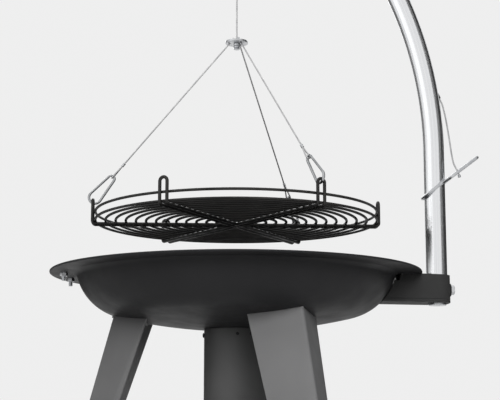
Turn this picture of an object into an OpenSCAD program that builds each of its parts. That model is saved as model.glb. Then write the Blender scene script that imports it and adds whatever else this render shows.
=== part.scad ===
// Swivel charcoal grill: a dished fire bowl on three folded-sheet legs, with a bent steel gallows
// that carries a round grate on a cable. Millimetres, +Z up. The origin lies on the ground, on the
// bowl's own axis. The gallows stands on the +X side.

/* [Fire bowl] */
// Outside diameter of the bowl's rim
rim_d = 700; // [660:5:760]
// Height of the rim's top face above the ground
rim_h = 600; // [540:10:720]
// Thickness of the bowl's sheet
bowl_t = 4; // [2.5:0.5:5]
// Depth of the bowl from the rim's top face to its lowest outside point
bowl_depth = 107; // [100:1:112]
// Widest outside radius of the bowl's side, on the circle of its knuckle
side_r = 302; // [290:1:312]
// Outside radius of the knuckle between the side and the bottom
knuckle_r = 100; // [90:2:110]
// Outside radius of the shallow bottom
crown_r = 1000; // [900:10:1200]
// Radius of the bend between the side and the underside of the rim
bend_r = 12; // [8:1:16]

/* [Legs] */
// Thickness of the folded leg sheet
leg_t = 3; // [2:0.5:4]
// Width of each leaf of a leg at the top
leg_arm_top = 102; // [90:1:112]
// Width of each leaf of a leg at the ground
leg_arm_foot = 56; // [52:1:70]
// Distance of a leg's fold from the bowl's axis at the height of the bowl's bottom
leg_top_r = 239.9; // [225:0.5:250]
// Lean of a leg's fold from the vertical
leg_lean = 15; // [13:0.5:16]
// Outside radius of a leg's fold
leg_bend_r = 6; // [5:0.5:9]
// Thickness of the tab under the bowl that takes a leg's bolts
tab_t = 4; // [3:0.5:6]
// Thickness of a foot plate
foot_t = 4; // [3:0.5:6]
// Diameter of the ground peg hole in each foot plate
peg_d = 9; // [6:0.5:11]
// Diameter of the leg bolts
leg_bolt_d = 8; // [6:1:10]

/* [Ash pot] */
// Outside diameter of the ash pot
pot_d = 120; // [100:2:130]
// Wall of the ash pot
pot_t = 2; // [1.5:0.5:3]
// Height of the ash pot
pot_h = 170; // [120:5:220]
// Diameter of the hole in the bowl over the pot
drain_d = 84; // [70:2:90]
// Diameter of the loose grid over that hole
grid_d = 104; // [96:2:110]
// Thickness of that grid
grid_t = 3; // [2:0.5:4]
// Height of the collar that the pot hangs on
collar_h = 28; // [24:1:40]

/* [Gallows bracket] */
// Outside width of the bracket
bracket_w = 72; // [66:1:84]
// Height of the bracket's strap
strap_h = 46; // [40:1:60]
// Thickness of the bracket's strap
strap_t = 3; // [2:0.5:4]
// Outside radius of the strap's nose corners
nose_r = 30; // [26:1:33]
// Thickness of the plate under the strap
floor_t = 6; // [4:0.5:8]
// Thickness of the plate bolted under the rim
roof_t = 5; // [4:0.5:8]
// Gap between the bracket and the bowl's side
bowl_gap = 3.5; // [3:0.5:8]
// Diameter of the bolts through the rim
rim_bolt_d = 8; // [6:1:8]
// Diameter of the clamp bolt in the nose
clamp_d = 10; // [8:1:12]

/* [Gallows] */
// Outside diameter of the pole
pole_d = 40; // [38:0.5:44]
// Wall of the pole's tube
pole_t = 2; // [1.5:0.5:3]
// Distance of the pole's axis outside the bowl's rim
pole_out = 30.5; // [27:0.5:40]
// Height of the pole's straight part above the rim
straight_h = 240; // [225:5:300]
// Radius of the pole's bend, on its axis
pole_bend_r = 785; // [700:5:850]
// Length of the pole past the bowl's axis, measured along the bend
tip_len = 46; // [36:1:70]
// Diameter of the roller in the pole's tip
roller_d = 22; // [20:1:26]
// Diameter of the roller's pin
pin_d = 6; // [5:0.5:8]

/* [Cable and lever] */
// Diameter of the steel cable
cable_d = 3; // [2:0.5:4]
// Diameter of the clamp lever's rod
lever_rod = 6; // [5:0.5:8]
// Height of the lever's middle above the rim
lever_z = 163; // [155:1:175]
// Slope of the lever on the pole
lever_slope = 37; // [30:1:40]
// Distance from the pole's axis to the lever's far end, along the lever
lever_len = 108; // [100:1:125]
// Height above the rim at which the cable leaves the pole
exit_z = 342; // [335:1:370]

/* [Grate] */
// Number of rings
ring_n = 14; // [12:1:14]
// Distance from ring to ring
ring_pitch = 19.1; // [18:0.1:19.4]
// Diameter of the ring rods
ring_rod = 5; // [4:0.5:6]
// Diameter of the rods under the rings
frame_rod = 6; // [5:0.5:7]
// Diameter of the raised rail
rail_rod = 5; // [4:0.5:6]
// Height of the rail above the rings
rail_h = 16; // [12:0.5:22]
// Height of the hanging loops above the rings
loop_h = 44; // [40:1:60]
// Distance between the two rods of a pair
pair_gap = 14.5; // [14:0.5:18]
// Height of the rings above the rim
grate_z = 98.5; // [90:0.5:120]
// Turn of the grate about its hanging point
grate_turn = 2.8; // [0:0.1:5]

/* [Hangers] */
// Height of the hanger plate above the rim
hanger_z = 453; // [430:1:500]
// Diameter of the hanger plate
hanger_d = 44; // [40:1:60]
// Thickness of the hanger plate
hanger_t = 4; // [3:0.5:6]
// Radius of the circle of wire holes in the hanger plate
hanger_hole_r = 14; // [13:0.5:16]
// Length of a snap hook
hook_len = 70; // [66:1:80]
// Width of a snap hook
hook_w = 28; // [26:1:32]
// Diameter of a snap hook's rod
hook_rod = 5; // [4:0.5:6]

/* [Hidden] */

// Gap between welded or bolted faces
seat = 0.1;
// Radial clearance of a turning fit
run = 0.05;
// Round parts are drawn this finely
$fn = 48;
fine = 144;
very_fine = 720;

black = [0.13, 0.13, 0.14];
soot = [0.09, 0.09, 0.09];
grey = [0.30, 0.31, 0.33];
steel = [0.80, 0.81, 0.82];
zinc = [0.68, 0.69, 0.70];
plastic = [0.05, 0.05, 0.05];

// The bowl's section, in radius and height above the rim's top face
crown_z = crown_r - bowl_depth;
knuckle_x = side_r - knuckle_r;
knuckle_z = crown_z - sqrt(pow(crown_r - knuckle_r, 2) - pow(knuckle_x, 2));
bend_z = -bowl_t - bend_r;
bend_x = knuckle_x + sqrt(pow(knuckle_r + bend_r, 2) - pow(knuckle_z - bend_z, 2));
crown_end = atan2(knuckle_z - crown_z, knuckle_x);
knuckle_end = atan2(bend_z - knuckle_z, bend_x - knuckle_x);

leg_turns = [180, -60, 60];
bowl_low_z = rim_h - bowl_depth;
leg_foot_r = leg_top_r + bowl_low_z * tan(leg_lean);
leaf_dir = atan2(1, cos(leg_lean));
leg_bolt_x = leg_top_r - 0.52 * leg_arm_top;
leg_bolt_y = 0.3 * leg_arm_top;

pole_x = rim_d / 2 + pole_out;
pole_r = pole_d / 2;
pole_in_r = pole_r - pole_t;
nose_gap = 0.5;
nose_x = pole_x + pole_r + nose_gap + strap_t;
strap_top = rim_h - bowl_t;
strap_low = strap_top - strap_h;
floor_low = strap_low - floor_t;
roof_x = bend_x + 3;
rim_bolt_x = (roof_x + rim_d / 2) / 2;
rim_screw_x = bend_x + 1.71 * rim_bolt_d;
spigot_r = pole_in_r - 1;
clamp_z = strap_top - 0.58 * strap_h;

bend_cx = pole_x - pole_bend_r;
bend_cz = rim_h + straight_h;
tip_turn = acos(1 - pole_x / pole_bend_r);
arc_turn = tip_turn + tip_len / pole_bend_r * 180 / PI;
cable_r = cable_d / 2;
groove_r = roller_d / 2 - cable_d + 1;
roller_turn = acos(1 - (pole_x - groove_r) / pole_bend_r);
roller_x = bend_cx + pole_bend_r * cos(roller_turn);
roller_z = bend_cz + pole_bend_r * sin(roller_turn);
exit_turn = asin((exit_z - straight_h) / pole_bend_r);

grate_r = ring_n * ring_pitch;
ring_z = rim_h + grate_z;
frame_z = ring_z - (ring_rod + frame_rod) / 2 - seat;
loop_r = grate_r + (max(ring_rod, rail_rod) + frame_rod) / 2 + seat;
loop_top_z = ring_z + loop_h - frame_rod / 2;
hook_turns = [180 + grate_turn, -60 + grate_turn, 60 + grate_turn];

// The hooks and wires lie on one line from the loop to the hanger plate
hang_x = loop_r - hanger_hole_r;
hang_z = rim_h + hanger_z - loop_top_z;
hang_len = norm([hang_x, hang_z]);
hang_tilt = atan2(hang_x, hang_z);
hook_r = hook_rod / 2;
big_r = hook_w / 2 - hook_r;
small_r = 0.53 * big_r;
big_z = big_r - hook_r - frame_rod / 2 - 2 * seat;
small_z = big_z - big_r + hook_len - hook_rod - small_r;
hook_taper = asin((big_r - small_r) / (small_z - big_z));
gate_top = [small_r * cos(hook_taper), small_z + small_r * sin(hook_taper)];
gate_low = [big_r * cos(hook_taper), big_z + big_r * sin(hook_taper)];
eye_r = hook_r + cable_r + 0.4;
eye_z = small_z + small_r - hook_r - cable_r - 2 * seat + eye_r;
eye_len = 25;
ferrule_len = 8;
ferrule_r = cable_r + 1.2;

// Points of an arc about c from a0 to a1, in n steps
function arc(c, r, a0, a1, n) = [for (i = [0:n]) let (a = a0 + (a1 - a0) * i / n) c + r * [cos(a), sin(a)]];
function backwards(p) = [for (i = [len(p) - 1:-1:0]) p[i]];

// The bowl's bottom and side at a distance g outside its outer face, from the radius x0 outwards
function bowl_line(g, x0) = concat(
    arc([0, crown_z], crown_r + g, asin(x0 / (crown_r + g)) - 90, crown_end, 12),
    arc([knuckle_x, knuckle_z], knuckle_r + g, crown_end, knuckle_end, 24));

// The bowl's outside shape, filled and grown by g, for trimming what lies under it
module bowl_fill(g) {
    line = bowl_line(g, 2);
    last = line[len(line) - 1];
    translate([0, 0, rim_h]) rotate_extrude($fn = fine)
        polygon(concat([[2, 30]], line, [last + [0.3, 1] * (30 - last[1])]));
}

// Puts its child on the bowl's bottom at plan position x, y, with +Z pointing out of the bottom
// and z = 0 on the outside face
module on_bottom(x, y) {
    translate([0, 0, rim_h + crown_z]) rotate([0, 180 - asin(norm([x, y]) / crown_r), atan2(y, x)])
        translate([0, 0, crown_r]) children();
}

// Places its child at each leg, with +X pointing out
module at_legs() {
    for (a = leg_turns) rotate([0, 0, a]) children();
}

// Places its child at each leg bolt
module at_leg_bolts() {
    at_legs() for (s = [-1, 1]) on_bottom(leg_bolt_x, s * leg_bolt_y) children();
}

module at_rim_screws() {
    for (s = [-1, 1]) rotate([0, 0, leg_turns[0] + s * 8.5]) translate([rim_screw_x, 0, rim_h]) children();
}

module at_bracket_bolts() {
    for (y = [-1, 0, 1] * 0.3 * bracket_w) translate([rim_bolt_x, y, rim_h]) children();
}

// A ball a hair wider than a rod of radius r, which makes two rods that meet in it one piece
module joint_ball(r) {
    sphere(r + 0.05, $fn = 24);
}

// A rod between two points, with such a ball at the second
module rod(a, b, r) {
    v = b - a;
    translate(a) rotate([0, acos(v[2] / norm(v)), atan2(v[1], v[0])]) cylinder(r = r, h = norm(v), $fn = 32);
    translate(b) joint_ball(r);
}

// Low round-headed bolt: head above z = 0, shank below
module round_bolt(d, len) {
    cylinder(d = 2 * d, h = 0.2 * d);
    translate([0, 0, 0.2 * d]) cylinder(d1 = 2 * d, d2 = 1.1 * d, h = 0.3 * d);
    translate([0, 0, -len]) cylinder(d = d, h = len);
}

// Hexagon nut with its top face at z = 0
module hex_nut(d) {
    translate([0, 0, -0.8 * d]) difference() {
        cylinder(d = 1.85 * d, h = 0.8 * d, $fn = 6);
        translate([0, 0, -1]) cylinder(d = d + 2 * run, h = d + 2);
    }
}

module fire_bowl() {
    edge_r = rim_d / 2 - bowl_t / 2;
    color(black) difference() {
        translate([0, 0, rim_h]) rotate_extrude($fn = fine) polygon(concat(
            bowl_line(0, drain_d / 2),
            arc([bend_x, bend_z], bend_r, 180 + knuckle_end, 90, 6),
            arc([edge_r, -bowl_t / 2], bowl_t / 2, -90, 90, 8),
            arc([bend_x, bend_z], bend_r + bowl_t, 90, 180 + knuckle_end, 6),
            backwards(bowl_line(-bowl_t, drain_d / 2))));
        at_leg_bolts() translate([0, 0, -2 * bowl_t]) cylinder(d = leg_bolt_d + 0.4, h = 4 * bowl_t);
        at_rim_screws() translate([0, 0, -2 * bowl_t]) cylinder(d = rim_bolt_d + 0.4, h = 4 * bowl_t);
        at_bracket_bolts() translate([0, 0, -2 * bowl_t]) cylinder(d = rim_bolt_d + 0.4, h = 4 * bowl_t);
    }
}

// A leg's section: a sheet folded at the origin with its leaves running to -X
module leg_section() {
    c = [-leg_bend_r / sin(leaf_dir), 0];
    side = [sin(leaf_dir), cos(leaf_dir)];
    along = [-cos(leaf_dir), sin(leaf_dir)] * 3 * leg_arm_top;
    turn = 90 - leaf_dir;
    polygon(concat(
        [c + leg_bend_r * [side[0], -side[1]] + [along[0], -along[1]]],
        arc(c, leg_bend_r, -turn, turn, 8),
        [c + leg_bend_r * side + along, c + (leg_bend_r - leg_t) * side + along],
        arc(c, leg_bend_r - leg_t, turn, -turn, 8),
        [c + (leg_bend_r - leg_t) * [side[0], -side[1]] + [along[0], -along[1]]]));
}

// One leg, standing on the +X side
module leg() {
    inner_foot = leg_foot_r - leg_arm_foot * cos(45);
    inner_top = leg_top_r - leg_arm_top * cos(45);
    top_z = bowl_low_z + 0.75 * bowl_depth;
    inner_end = inner_foot + (inner_top - inner_foot) * top_z / bowl_low_z;
    deep = 2 * leg_t + 1;
    difference() {
        intersection() {
            translate([leg_foot_r, 0, 0]) rotate([0, -leg_lean, 0]) translate([0, 0, -leg_foot_r])
                linear_extrude(2 * leg_foot_r + rim_h) leg_section();
            rotate([90, 0, 0]) translate([0, 0, -leg_arm_top]) linear_extrude(2 * leg_arm_top)
                polygon([[inner_foot, foot_t], [inner_end, top_z], [leg_foot_r + 9, top_z],
                    [leg_foot_r + 9, foot_t]]);
        }
        bowl_fill(seat);
    }
    difference() {
        intersection() {
            translate([0, 0, rim_h]) rotate_extrude($fn = fine) polygon(concat(
                bowl_line(seat + tab_t, leg_bolt_x / 2), backwards(bowl_line(seat, leg_bolt_x / 2))));
            linear_extrude(rim_h) polygon([[leg_top_r - deep, 0],
                [inner_top + 2, leg_top_r - inner_top - deep - 2],
                [inner_top + 2, -(leg_top_r - inner_top - deep - 2)]]);
        }
        for (s = [-1, 1]) on_bottom(leg_bolt_x, s * leg_bolt_y) translate([0, 0, -tab_t])
            cylinder(d = leg_bolt_d + 0.4, h = 4 * tab_t);
    }
}

module leg_left() { color(grey) rotate([0, 0, leg_turns[0]]) leg(); }
module leg_front() { color(grey) rotate([0, 0, leg_turns[1]]) leg(); }
module leg_rear() { color(grey) rotate([0, 0, leg_turns[2]]) leg(); }

// Radius of the circle of peg holes
peg_r = leg_foot_r - leg_arm_foot * cos(45) + peg_d / 2 + 5;

module foot_plates() {
    color(grey) at_legs() difference() {
        linear_extrude(foot_t - seat) polygon([[leg_foot_r - 1, -3], [leg_foot_r - 1, 3],
            [leg_foot_r - leg_arm_foot * cos(45), leg_arm_foot * cos(45)],
            [leg_foot_r - leg_arm_foot * cos(45), -leg_arm_foot * cos(45)]]);
        translate([peg_r, 0, -1]) cylinder(d = peg_d, h = foot_t + 2);
    }
}

module leg_bolts() {
    color(zinc) at_leg_bolts() translate([0, 0, -bowl_t - seat]) mirror([0, 0, 1])
        round_bolt(leg_bolt_d, bowl_t + tab_t + 1.3 * leg_bolt_d);
}

module leg_nuts() {
    color(zinc) at_leg_bolts() translate([0, 0, tab_t + 2 * seat]) mirror([0, 0, 1])
        hex_nut(leg_bolt_d);
}

collar_r = pot_d / 2 - pot_t - 0.3;
pot_top = bowl_low_z + crown_r - sqrt(pow(crown_r, 2) - pow(pot_d / 2, 2)) - 0.5;
screw_d = 5;
screw_z = pot_top - 11;

module at_pot_screws() {
    for (a = leg_turns) rotate([0, 0, a]) translate([pot_d / 2, 0, screw_z]) rotate([0, 90, 0])
        children();
}

module ash_collar() {
    color(black) difference() {
        translate([0, 0, bowl_low_z - collar_h]) difference() {
            cylinder(r = collar_r, h = collar_h + 10, $fn = fine);
            translate([0, 0, -1]) cylinder(r = collar_r - pot_t, h = collar_h + 12, $fn = fine);
        }
        bowl_fill(seat);
        at_pot_screws() translate([0, 0, -20]) cylinder(d = screw_d + 0.1, h = 30);
    }
}

// The pot: straight can with an air hole beside each screw
module ash_pot() {
    color(black) difference() {
        translate([0, 0, pot_top - pot_h]) difference() {
            cylinder(d = pot_d, h = pot_h, $fn = fine);
            translate([0, 0, pot_t]) cylinder(d = pot_d - 2 * pot_t, h = pot_h, $fn = fine);
        }
        at_pot_screws() translate([0, 0, -20]) cylinder(d = screw_d + 0.4, h = 30);
        rotate([0, 0, -27]) translate([0, 0, -1]) at_pot_screws() translate([0, 0, -20])
            cylinder(d = 6, h = 30);
    }
}

module ash_pot_screws() {
    color(zinc) at_pot_screws() {
        translate([0, 0, seat]) cylinder(d = 9, h = 1.5);
        translate([0, 0, seat + 1.5]) cylinder(d1 = 9, d2 = 5, h = 1.3);
        translate([0, 0, -pot_t - 6]) cylinder(d = screw_d, h = pot_t + 7);
    }
}

// Slotted disc that lies loose in the bowl over the hole to the pot
module ash_grid() {
    lie_z = bowl_low_z + crown_r - sqrt(pow(crown_r - bowl_t, 2) - pow(grid_d / 2, 2)) + seat;
    slot_w = 7;
    color(soot) translate([0, 0, lie_z]) difference() {
        cylinder(d = grid_d, h = grid_t, $fn = fine);
        for (i = [-2:2]) translate([i * 2 * slot_w, 0, 0]) {
            reach = sqrt(pow(0.36 * grid_d, 2) - pow(i * 2 * slot_w, 2));
            translate([-slot_w / 2, -reach, -1]) cube([slot_w, 2 * reach, grid_t + 2]);
            for (s = [-1, 1]) translate([0, s * reach, -1]) cylinder(d = slot_w, h = grid_t + 2);
        }
    }
}

module rim_screws() {
    color(zinc) at_rim_screws() translate([0, 0, seat]) round_bolt(rim_bolt_d, bowl_t + 1.9 * rim_bolt_d);
}

module rim_screw_nuts() {
    color(zinc) at_rim_screws() translate([0, 0, -bowl_t - seat]) hex_nut(rim_bolt_d);
}

// The bracket seen from above, drawn in by g
module bracket_plan(g) {
    hw = bracket_w / 2;
    corner_x = nose_x - nose_r;
    start_x = side_r - 1.2 * strap_h;
    translate([start_x, -hw + g]) square([corner_x - start_x, bracket_w - 2 * g]);
    translate([corner_x - 1, nose_r - hw]) square([nose_r + 1 - g, bracket_w - 2 * nose_r]);
    for (s = [-1, 1]) translate([corner_x, s * (hw - nose_r)]) circle(nose_r - g, $fn = fine);
}

// What has to be cleared beside the bowl's side and its bend
module bowl_clearance() {
    bowl_fill(bowl_gap);
    translate([0, 0, rim_h]) rotate_extrude($fn = fine) polygon([[bend_x - 60, 1], [bend_x + 1, 1],
        [bend_x + 1, -bowl_t], [bend_x - 2, bend_z], [bend_x - 60, bend_z]]);
}

module bracket_strap() {
    color(black) difference() {
        translate([0, 0, strap_low]) linear_extrude(strap_h - seat) difference() {
            bracket_plan(0);
            bracket_plan(strap_t);
        }
        bowl_clearance();
        translate([nose_x - 2 * strap_t, 0, clamp_z]) rotate([0, 90, 0])
            cylinder(d = clamp_d + 2 * run, h = 4 * strap_t);
    }
}

module bracket_floor() {
    color(black) difference() {
        translate([0, 0, floor_low]) linear_extrude(floor_t - seat) bracket_plan(0);
        bowl_clearance();
        translate([pole_x, 0, floor_low - 1]) cylinder(r = spigot_r + run, h = floor_t + 2);
    }
}

module bracket_roof() {
    color(black) difference() {
        translate([0, 0, strap_top - roof_t]) linear_extrude(roof_t - seat) intersection() {
            bracket_plan(strap_t + seat);
            translate([roof_x, -bracket_w]) square([bracket_w * 2, 2 * bracket_w]);
        }
        translate([pole_x, 0, strap_low]) cylinder(r = pole_r + run, h = strap_h + 2);
        at_bracket_bolts() translate([0, 0, -4 * roof_t]) cylinder(d = rim_bolt_d + 0.4, h = 5 * roof_t);
    }
}

module bracket_bolts() {
    color(zinc) at_bracket_bolts() translate([0, 0, seat])
        round_bolt(rim_bolt_d, bowl_t + roof_t + 1.2 * rim_bolt_d);
}

module bracket_nuts() {
    color(zinc) at_bracket_bolts() translate([0, 0, -bowl_t - roof_t - seat]) hex_nut(rim_bolt_d);
}

boss_h = 2.5;

module clamp_boss() {
    color(black) translate([nose_x + seat, 0, clamp_z]) rotate([0, 90, 0]) difference() {
        cylinder(d = 2.4 * clamp_d, h = boss_h);
        translate([0, 0, -1]) cylinder(d = clamp_d + 2 * run, h = boss_h + 2);
    }
}

// Hexagon bolt that presses on the pole
module clamp_bolt() {
    tip_x = pole_x + pole_r + 2 * seat;
    head_x = nose_x + boss_h + 3 * seat;
    color(zinc) translate([0, 0, clamp_z]) rotate([0, 90, 0]) {
        translate([0, 0, tip_x]) cylinder(d = clamp_d, h = head_x - tip_x + 1);
        translate([0, 0, head_x]) cylinder(d = 1.85 * clamp_d, h = 0.64 * clamp_d, $fn = 6);
    }
}

// Sweeps its flat child along the pole's bend from angle a0 to a1
module along_bend(a0, a1) {
    translate([bend_cx, 0, bend_cz]) rotate([90, 0, 0]) rotate([0, 0, a0])
        rotate_extrude(angle = a1 - a0, $fn = 4 * fine) children();
}

// Puts its child on the bend's axis at angle a, with +X pointing away from the bend's centre
module on_bend(a) {
    translate([bend_cx, 0, bend_cz]) rotate([0, -a, 0]) translate([pole_bend_r, 0, 0]) children();
}

// Radius on which the cable lies against the inside of the bend
lie_r = pole_bend_r - pole_in_r + cable_r + seat;
lie_a0 = exit_turn + acos(lie_r / (pole_bend_r + pole_r));
lie_a1 = roller_turn - acos((lie_r - groove_r) / pole_bend_r);
run_len = sqrt(pow(pole_bend_r + pole_r, 2) - pow(lie_r, 2));
bush_r = cable_r + 1.7;

// Puts its child where the cable starts to lie on the bend, with +Z running to the bush
module on_exit() {
    translate([bend_cx, 0, bend_cz]) rotate([0, -lie_a0, 0]) translate([lie_r, 0, 0])
        rotate([0, 180, 0]) children();
}

module gallows_pole() {
    foot_z = strap_low + 0.3;
    color(steel) difference() {
        union() {
            translate([pole_x, 0, foot_z]) difference() {
                cylinder(r = pole_r, h = bend_cz - foot_z, $fn = fine);
                translate([0, 0, -1]) cylinder(r = pole_in_r, h = bend_cz - foot_z + 2, $fn = fine);
            }
            along_bend(0, arc_turn) translate([pole_bend_r, 0]) difference() {
                circle(pole_r, $fn = fine);
                circle(pole_in_r, $fn = fine);
            }
        }
        on_bend(roller_turn) rotate([90, 0, 0]) translate([0, 0, -pole_d])
            cylinder(d = pin_d + 2 * seat, h = 2 * pole_d);
        translate([0, 0, roller_z - 2 * pole_r]) cylinder(r = cable_d, h = 2 * pole_r - 4);
        on_exit() translate([0, 0, run_len - 30]) cylinder(r = bush_r + seat, h = 60);
    }
}

// Turned plug in the pole's lower end: it stands on the bracket's floor and turns in it
module pole_foot() {
    color(zinc) translate([pole_x, 0, 0]) {
        translate([0, 0, strap_low + seat]) cylinder(r = pole_in_r - run, h = 24);
        translate([0, 0, floor_low - 4]) cylinder(r = spigot_r, h = floor_t + 5);
    }
}

module pole_cap() {
    color(plastic) along_bend(arc_turn - 1, arc_turn) translate([pole_bend_r, 0]) circle(pole_in_r - run);
    color(plastic) along_bend(arc_turn, arc_turn + 0.3) translate([pole_bend_r, 0]) circle(pole_r);
}

// Plastic bush where the cable leaves the pole
module exit_grommet() {
    color(plastic) on_exit() translate([0, 0, run_len - 16]) difference() {
        union() {
            cylinder(r = bush_r, h = 17);
            translate([0, 0, 17 - seat]) cylinder(r1 = bush_r, r2 = bush_r - 0.8, h = 1);
        }
        translate([0, 0, -1]) cylinder(r = cable_r + 0.2, h = 40);
    }
}

module tip_roller() {
    color(plastic) translate([roller_x, 0, roller_z]) rotate([90, 0, 0]) translate([0, 0, -5]) difference() {
        cylinder(d = roller_d, h = 10);
        translate([0, 0, -1]) cylinder(d = pin_d + 2 * run, h = 12);
        translate([0, 0, 5]) rotate_extrude() translate([groove_r, 0]) {
            circle(cable_r + 2 * seat);
            translate([0, -cable_r - 2 * seat]) square([roller_d, cable_d + 4 * seat]);
        }
    }
}

// Riveted pin through the pole's tip
module roller_pin() {
    color(zinc) translate([roller_x, 0, roller_z]) rotate([90, 0, 0]) {
        translate([0, 0, -pole_r - 0.5]) cylinder(d = pin_d, h = pole_d + 1);
        for (s = [0, 1]) mirror([0, 0, s]) translate([0, 0, pole_r + seat])
            cylinder(d1 = 1.6 * pin_d, d2 = pin_d, h = 2);
    }
}

// The cable inside the pole, from the bush to the roller, and over the roller
module cable_inside() {
    color(steel) {
        on_exit() {
            cylinder(r = cable_r, h = run_len - 0.3, $fn = 32);
            joint_ball(cable_r);
        }
        along_bend(lie_a0, lie_a1) translate([lie_r, 0]) circle(cable_r, $fn = 32);
        translate([bend_cx, 0, bend_cz]) rotate([0, -lie_a1, 0]) translate([lie_r, 0, 0]) {
            joint_ball(cable_r);
            cylinder(r = cable_r, h = pole_bend_r * sin(roller_turn - lie_a1), $fn = 32);
            translate([0, 0, pole_bend_r * sin(roller_turn - lie_a1)]) joint_ball(cable_r);
        }
        translate([roller_x, 0, roller_z]) rotate([90, 0, 0]) rotate([0, 0, lie_a1])
            rotate_extrude(angle = 180 - lie_a1) translate([groove_r, 0]) circle(cable_r, $fn = 32);
    }
}

// The stop's neck stands out of the hanger plate by this much on both sides
neck_out = 2;

module cable_drop() {
    low = rim_h + hanger_z + hanger_t + neck_out + seat;
    color(steel) translate([0, 0, low]) cylinder(r = cable_r, h = roller_z - low, $fn = 24);
}

// Crimped stop that the hanger plate turns on
module drop_stop() {
    color(zinc) translate([0, 0, rim_h + hanger_z]) {
        translate([0, 0, -neck_out]) cylinder(d = 2 * cable_d, h = hanger_t + 2 * neck_out);
        translate([0, 0, -12]) cylinder(d = 4 * cable_d, h = 12 - 2 * seat);
    }
}

module at_hooks() {
    for (a = hook_turns) rotate([0, 0, a]) children();
}

// The line of a hanger: origin on the loop's top, +Z along the wire
module on_hanger() {
    translate([loop_r, 0, loop_top_z]) rotate([0, -hang_tilt, 0]) children();
}

module hanger_plate() {
    color(zinc) difference() {
        translate([0, 0, rim_h + hanger_z]) cylinder(d = hanger_d, h = hanger_t);
        translate([0, 0, rim_h + hanger_z - 1]) cylinder(d = 2 * cable_d + 2 * run, h = hanger_t + 2);
        at_hooks() on_hanger() translate([0, 0, hang_len - 30]) cylinder(r = cable_r + 0.2, h = 60);
    }
}

// Each wire ends below in an eye through its hook and above in a stop on the plate
module wires() {
    top = eye_z + eye_len;
    color(steel) at_hooks() on_hanger() {
        translate([0, 0, top - 3]) cylinder(r = cable_r, h = hang_len + 15 - top, $fn = 32);
        translate([0, 0, eye_z]) rotate([0, 0, 90]) rotate([90, 0, 0]) rotate([0, 0, 180])
            rotate_extrude(angle = 180) translate([eye_r, 0]) circle(cable_r, $fn = 32);
        for (s = [-1, 1]) {
            translate([0, s * eye_r, eye_z]) joint_ball(cable_r);
            rod([0, s * eye_r, eye_z], [0, s * 0.4 * cable_r, top - cable_r - 3 * seat], cable_r);
        }
    }
}

module wire_ferrules() {
    color(zinc) at_hooks() on_hanger() {
        translate([0, 0, eye_z + eye_len]) difference() {
            cylinder(r = ferrule_r, h = ferrule_len);
            translate([0, 0, -1]) cylinder(r = cable_r + run, h = ferrule_len + 2);
        }
        translate([0, 0, hang_len + hanger_t / cos(hang_tilt) + ferrule_r * tan(hang_tilt)]) difference() {
            cylinder(r = ferrule_r, h = 0.75 * ferrule_len);
            translate([0, 0, -1]) cylinder(r = cable_r + run, h = ferrule_len + 2);
        }
    }
}

// Part of a rod ring in the hook's plane, about the centre at height z, with a ball at each end
module hook_bow(z, r, a0, a1) {
    translate([0, 0, z]) rotate([90, 0, 0]) {
        rotate([0, 0, a0]) rotate_extrude(angle = a1 - a0) translate([r, 0]) circle(hook_r, $fn = 32);
        translate([-r * cos(hook_taper), r * sin(hook_taper), 0]) joint_ball(hook_r);
    }
}

lug_t = 2;
gate_r = hook_r - 0.3;
nose_turn = 14;
lug_turn = hook_taper + asin(min(0.9, (gate_r + 1.4) / small_r));

// Pear-shaped snap hook without its gate: its lug takes the gate's fork
module hook_body() {
    lug_end = small_r * [cos(lug_turn + 12), sin(lug_turn + 12)] + [0, small_z];
    hook_bow(big_z, big_r, -180 - hook_taper, hook_taper - nose_turn);
    hook_bow(small_z, small_r, lug_turn, 180 - hook_taper);
    mirror([1, 0, 0]) translate([gate_low[0], 0, gate_low[1]]) rotate([0, -hook_taper, 0])
        cylinder(r = hook_r, h = norm(gate_top - gate_low), $fn = 32);
    rotate([90, 0, 0]) translate([0, 0, -lug_t / 2]) linear_extrude(lug_t) {
        translate(gate_top) circle(gate_r - 0.2);
        polygon([gate_top + [-1.4, 0], gate_top + [1.9, 0.4], lug_end + [1.6, 0], lug_end - [1.6, 1]]);
    }
    translate([gate_top[0], 0, gate_top[1]]) rotate([90, 0, 0]) translate([0, 0, -gate_r])
        cylinder(r = 0.9, h = 2 * gate_r);
}

// Sprung gate, hinged on the lug at the hook's small end
module hook_gate() {
    gate_len = norm(gate_top - gate_low);
    nose_cut = big_r * sin(nose_turn) + 0.4;
    translate([gate_top[0], 0, gate_top[1]]) rotate([0, -hook_taper, 0]) difference() {
        translate([0, 0, nose_cut - gate_len])
            cylinder(r = gate_r, h = gate_len - nose_cut + gate_r, $fn = 32);
        translate([-hook_rod, -lug_t / 2 - run, -gate_r - 0.4])
            cube([2 * hook_rod, lug_t + 2 * run, 3 * hook_r]);
        rotate([90, 0, 0]) translate([0, 0, -hook_rod]) cylinder(r = 0.9 + run, h = 2 * hook_rod);
    }
}

module hook_left() { color(zinc) rotate([0, 0, hook_turns[0]]) on_hanger() hook_body(); }
module hook_front() { color(zinc) rotate([0, 0, hook_turns[1]]) on_hanger() hook_body(); }
module hook_rear() { color(zinc) rotate([0, 0, hook_turns[2]]) on_hanger() hook_body(); }
module gate_left() { color(zinc) rotate([0, 0, hook_turns[0]]) on_hanger() hook_gate(); }
module gate_front() { color(zinc) rotate([0, 0, hook_turns[1]]) on_hanger() hook_gate(); }
module gate_rear() { color(zinc) rotate([0, 0, hook_turns[2]]) on_hanger() hook_gate(); }

module grate_rings() {
    color(soot) translate([0, 0, ring_z]) for (i = [1:ring_n])
        rotate_extrude($fn = fine) translate([i * ring_pitch, 0]) circle(d = ring_rod, $fn = 24);
}

module grate_rail() {
    color(soot) translate([0, 0, ring_z + rail_h])
        rotate_extrude($fn = fine) translate([grate_r, 0]) circle(d = rail_rod, $fn = 24);
}

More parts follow.
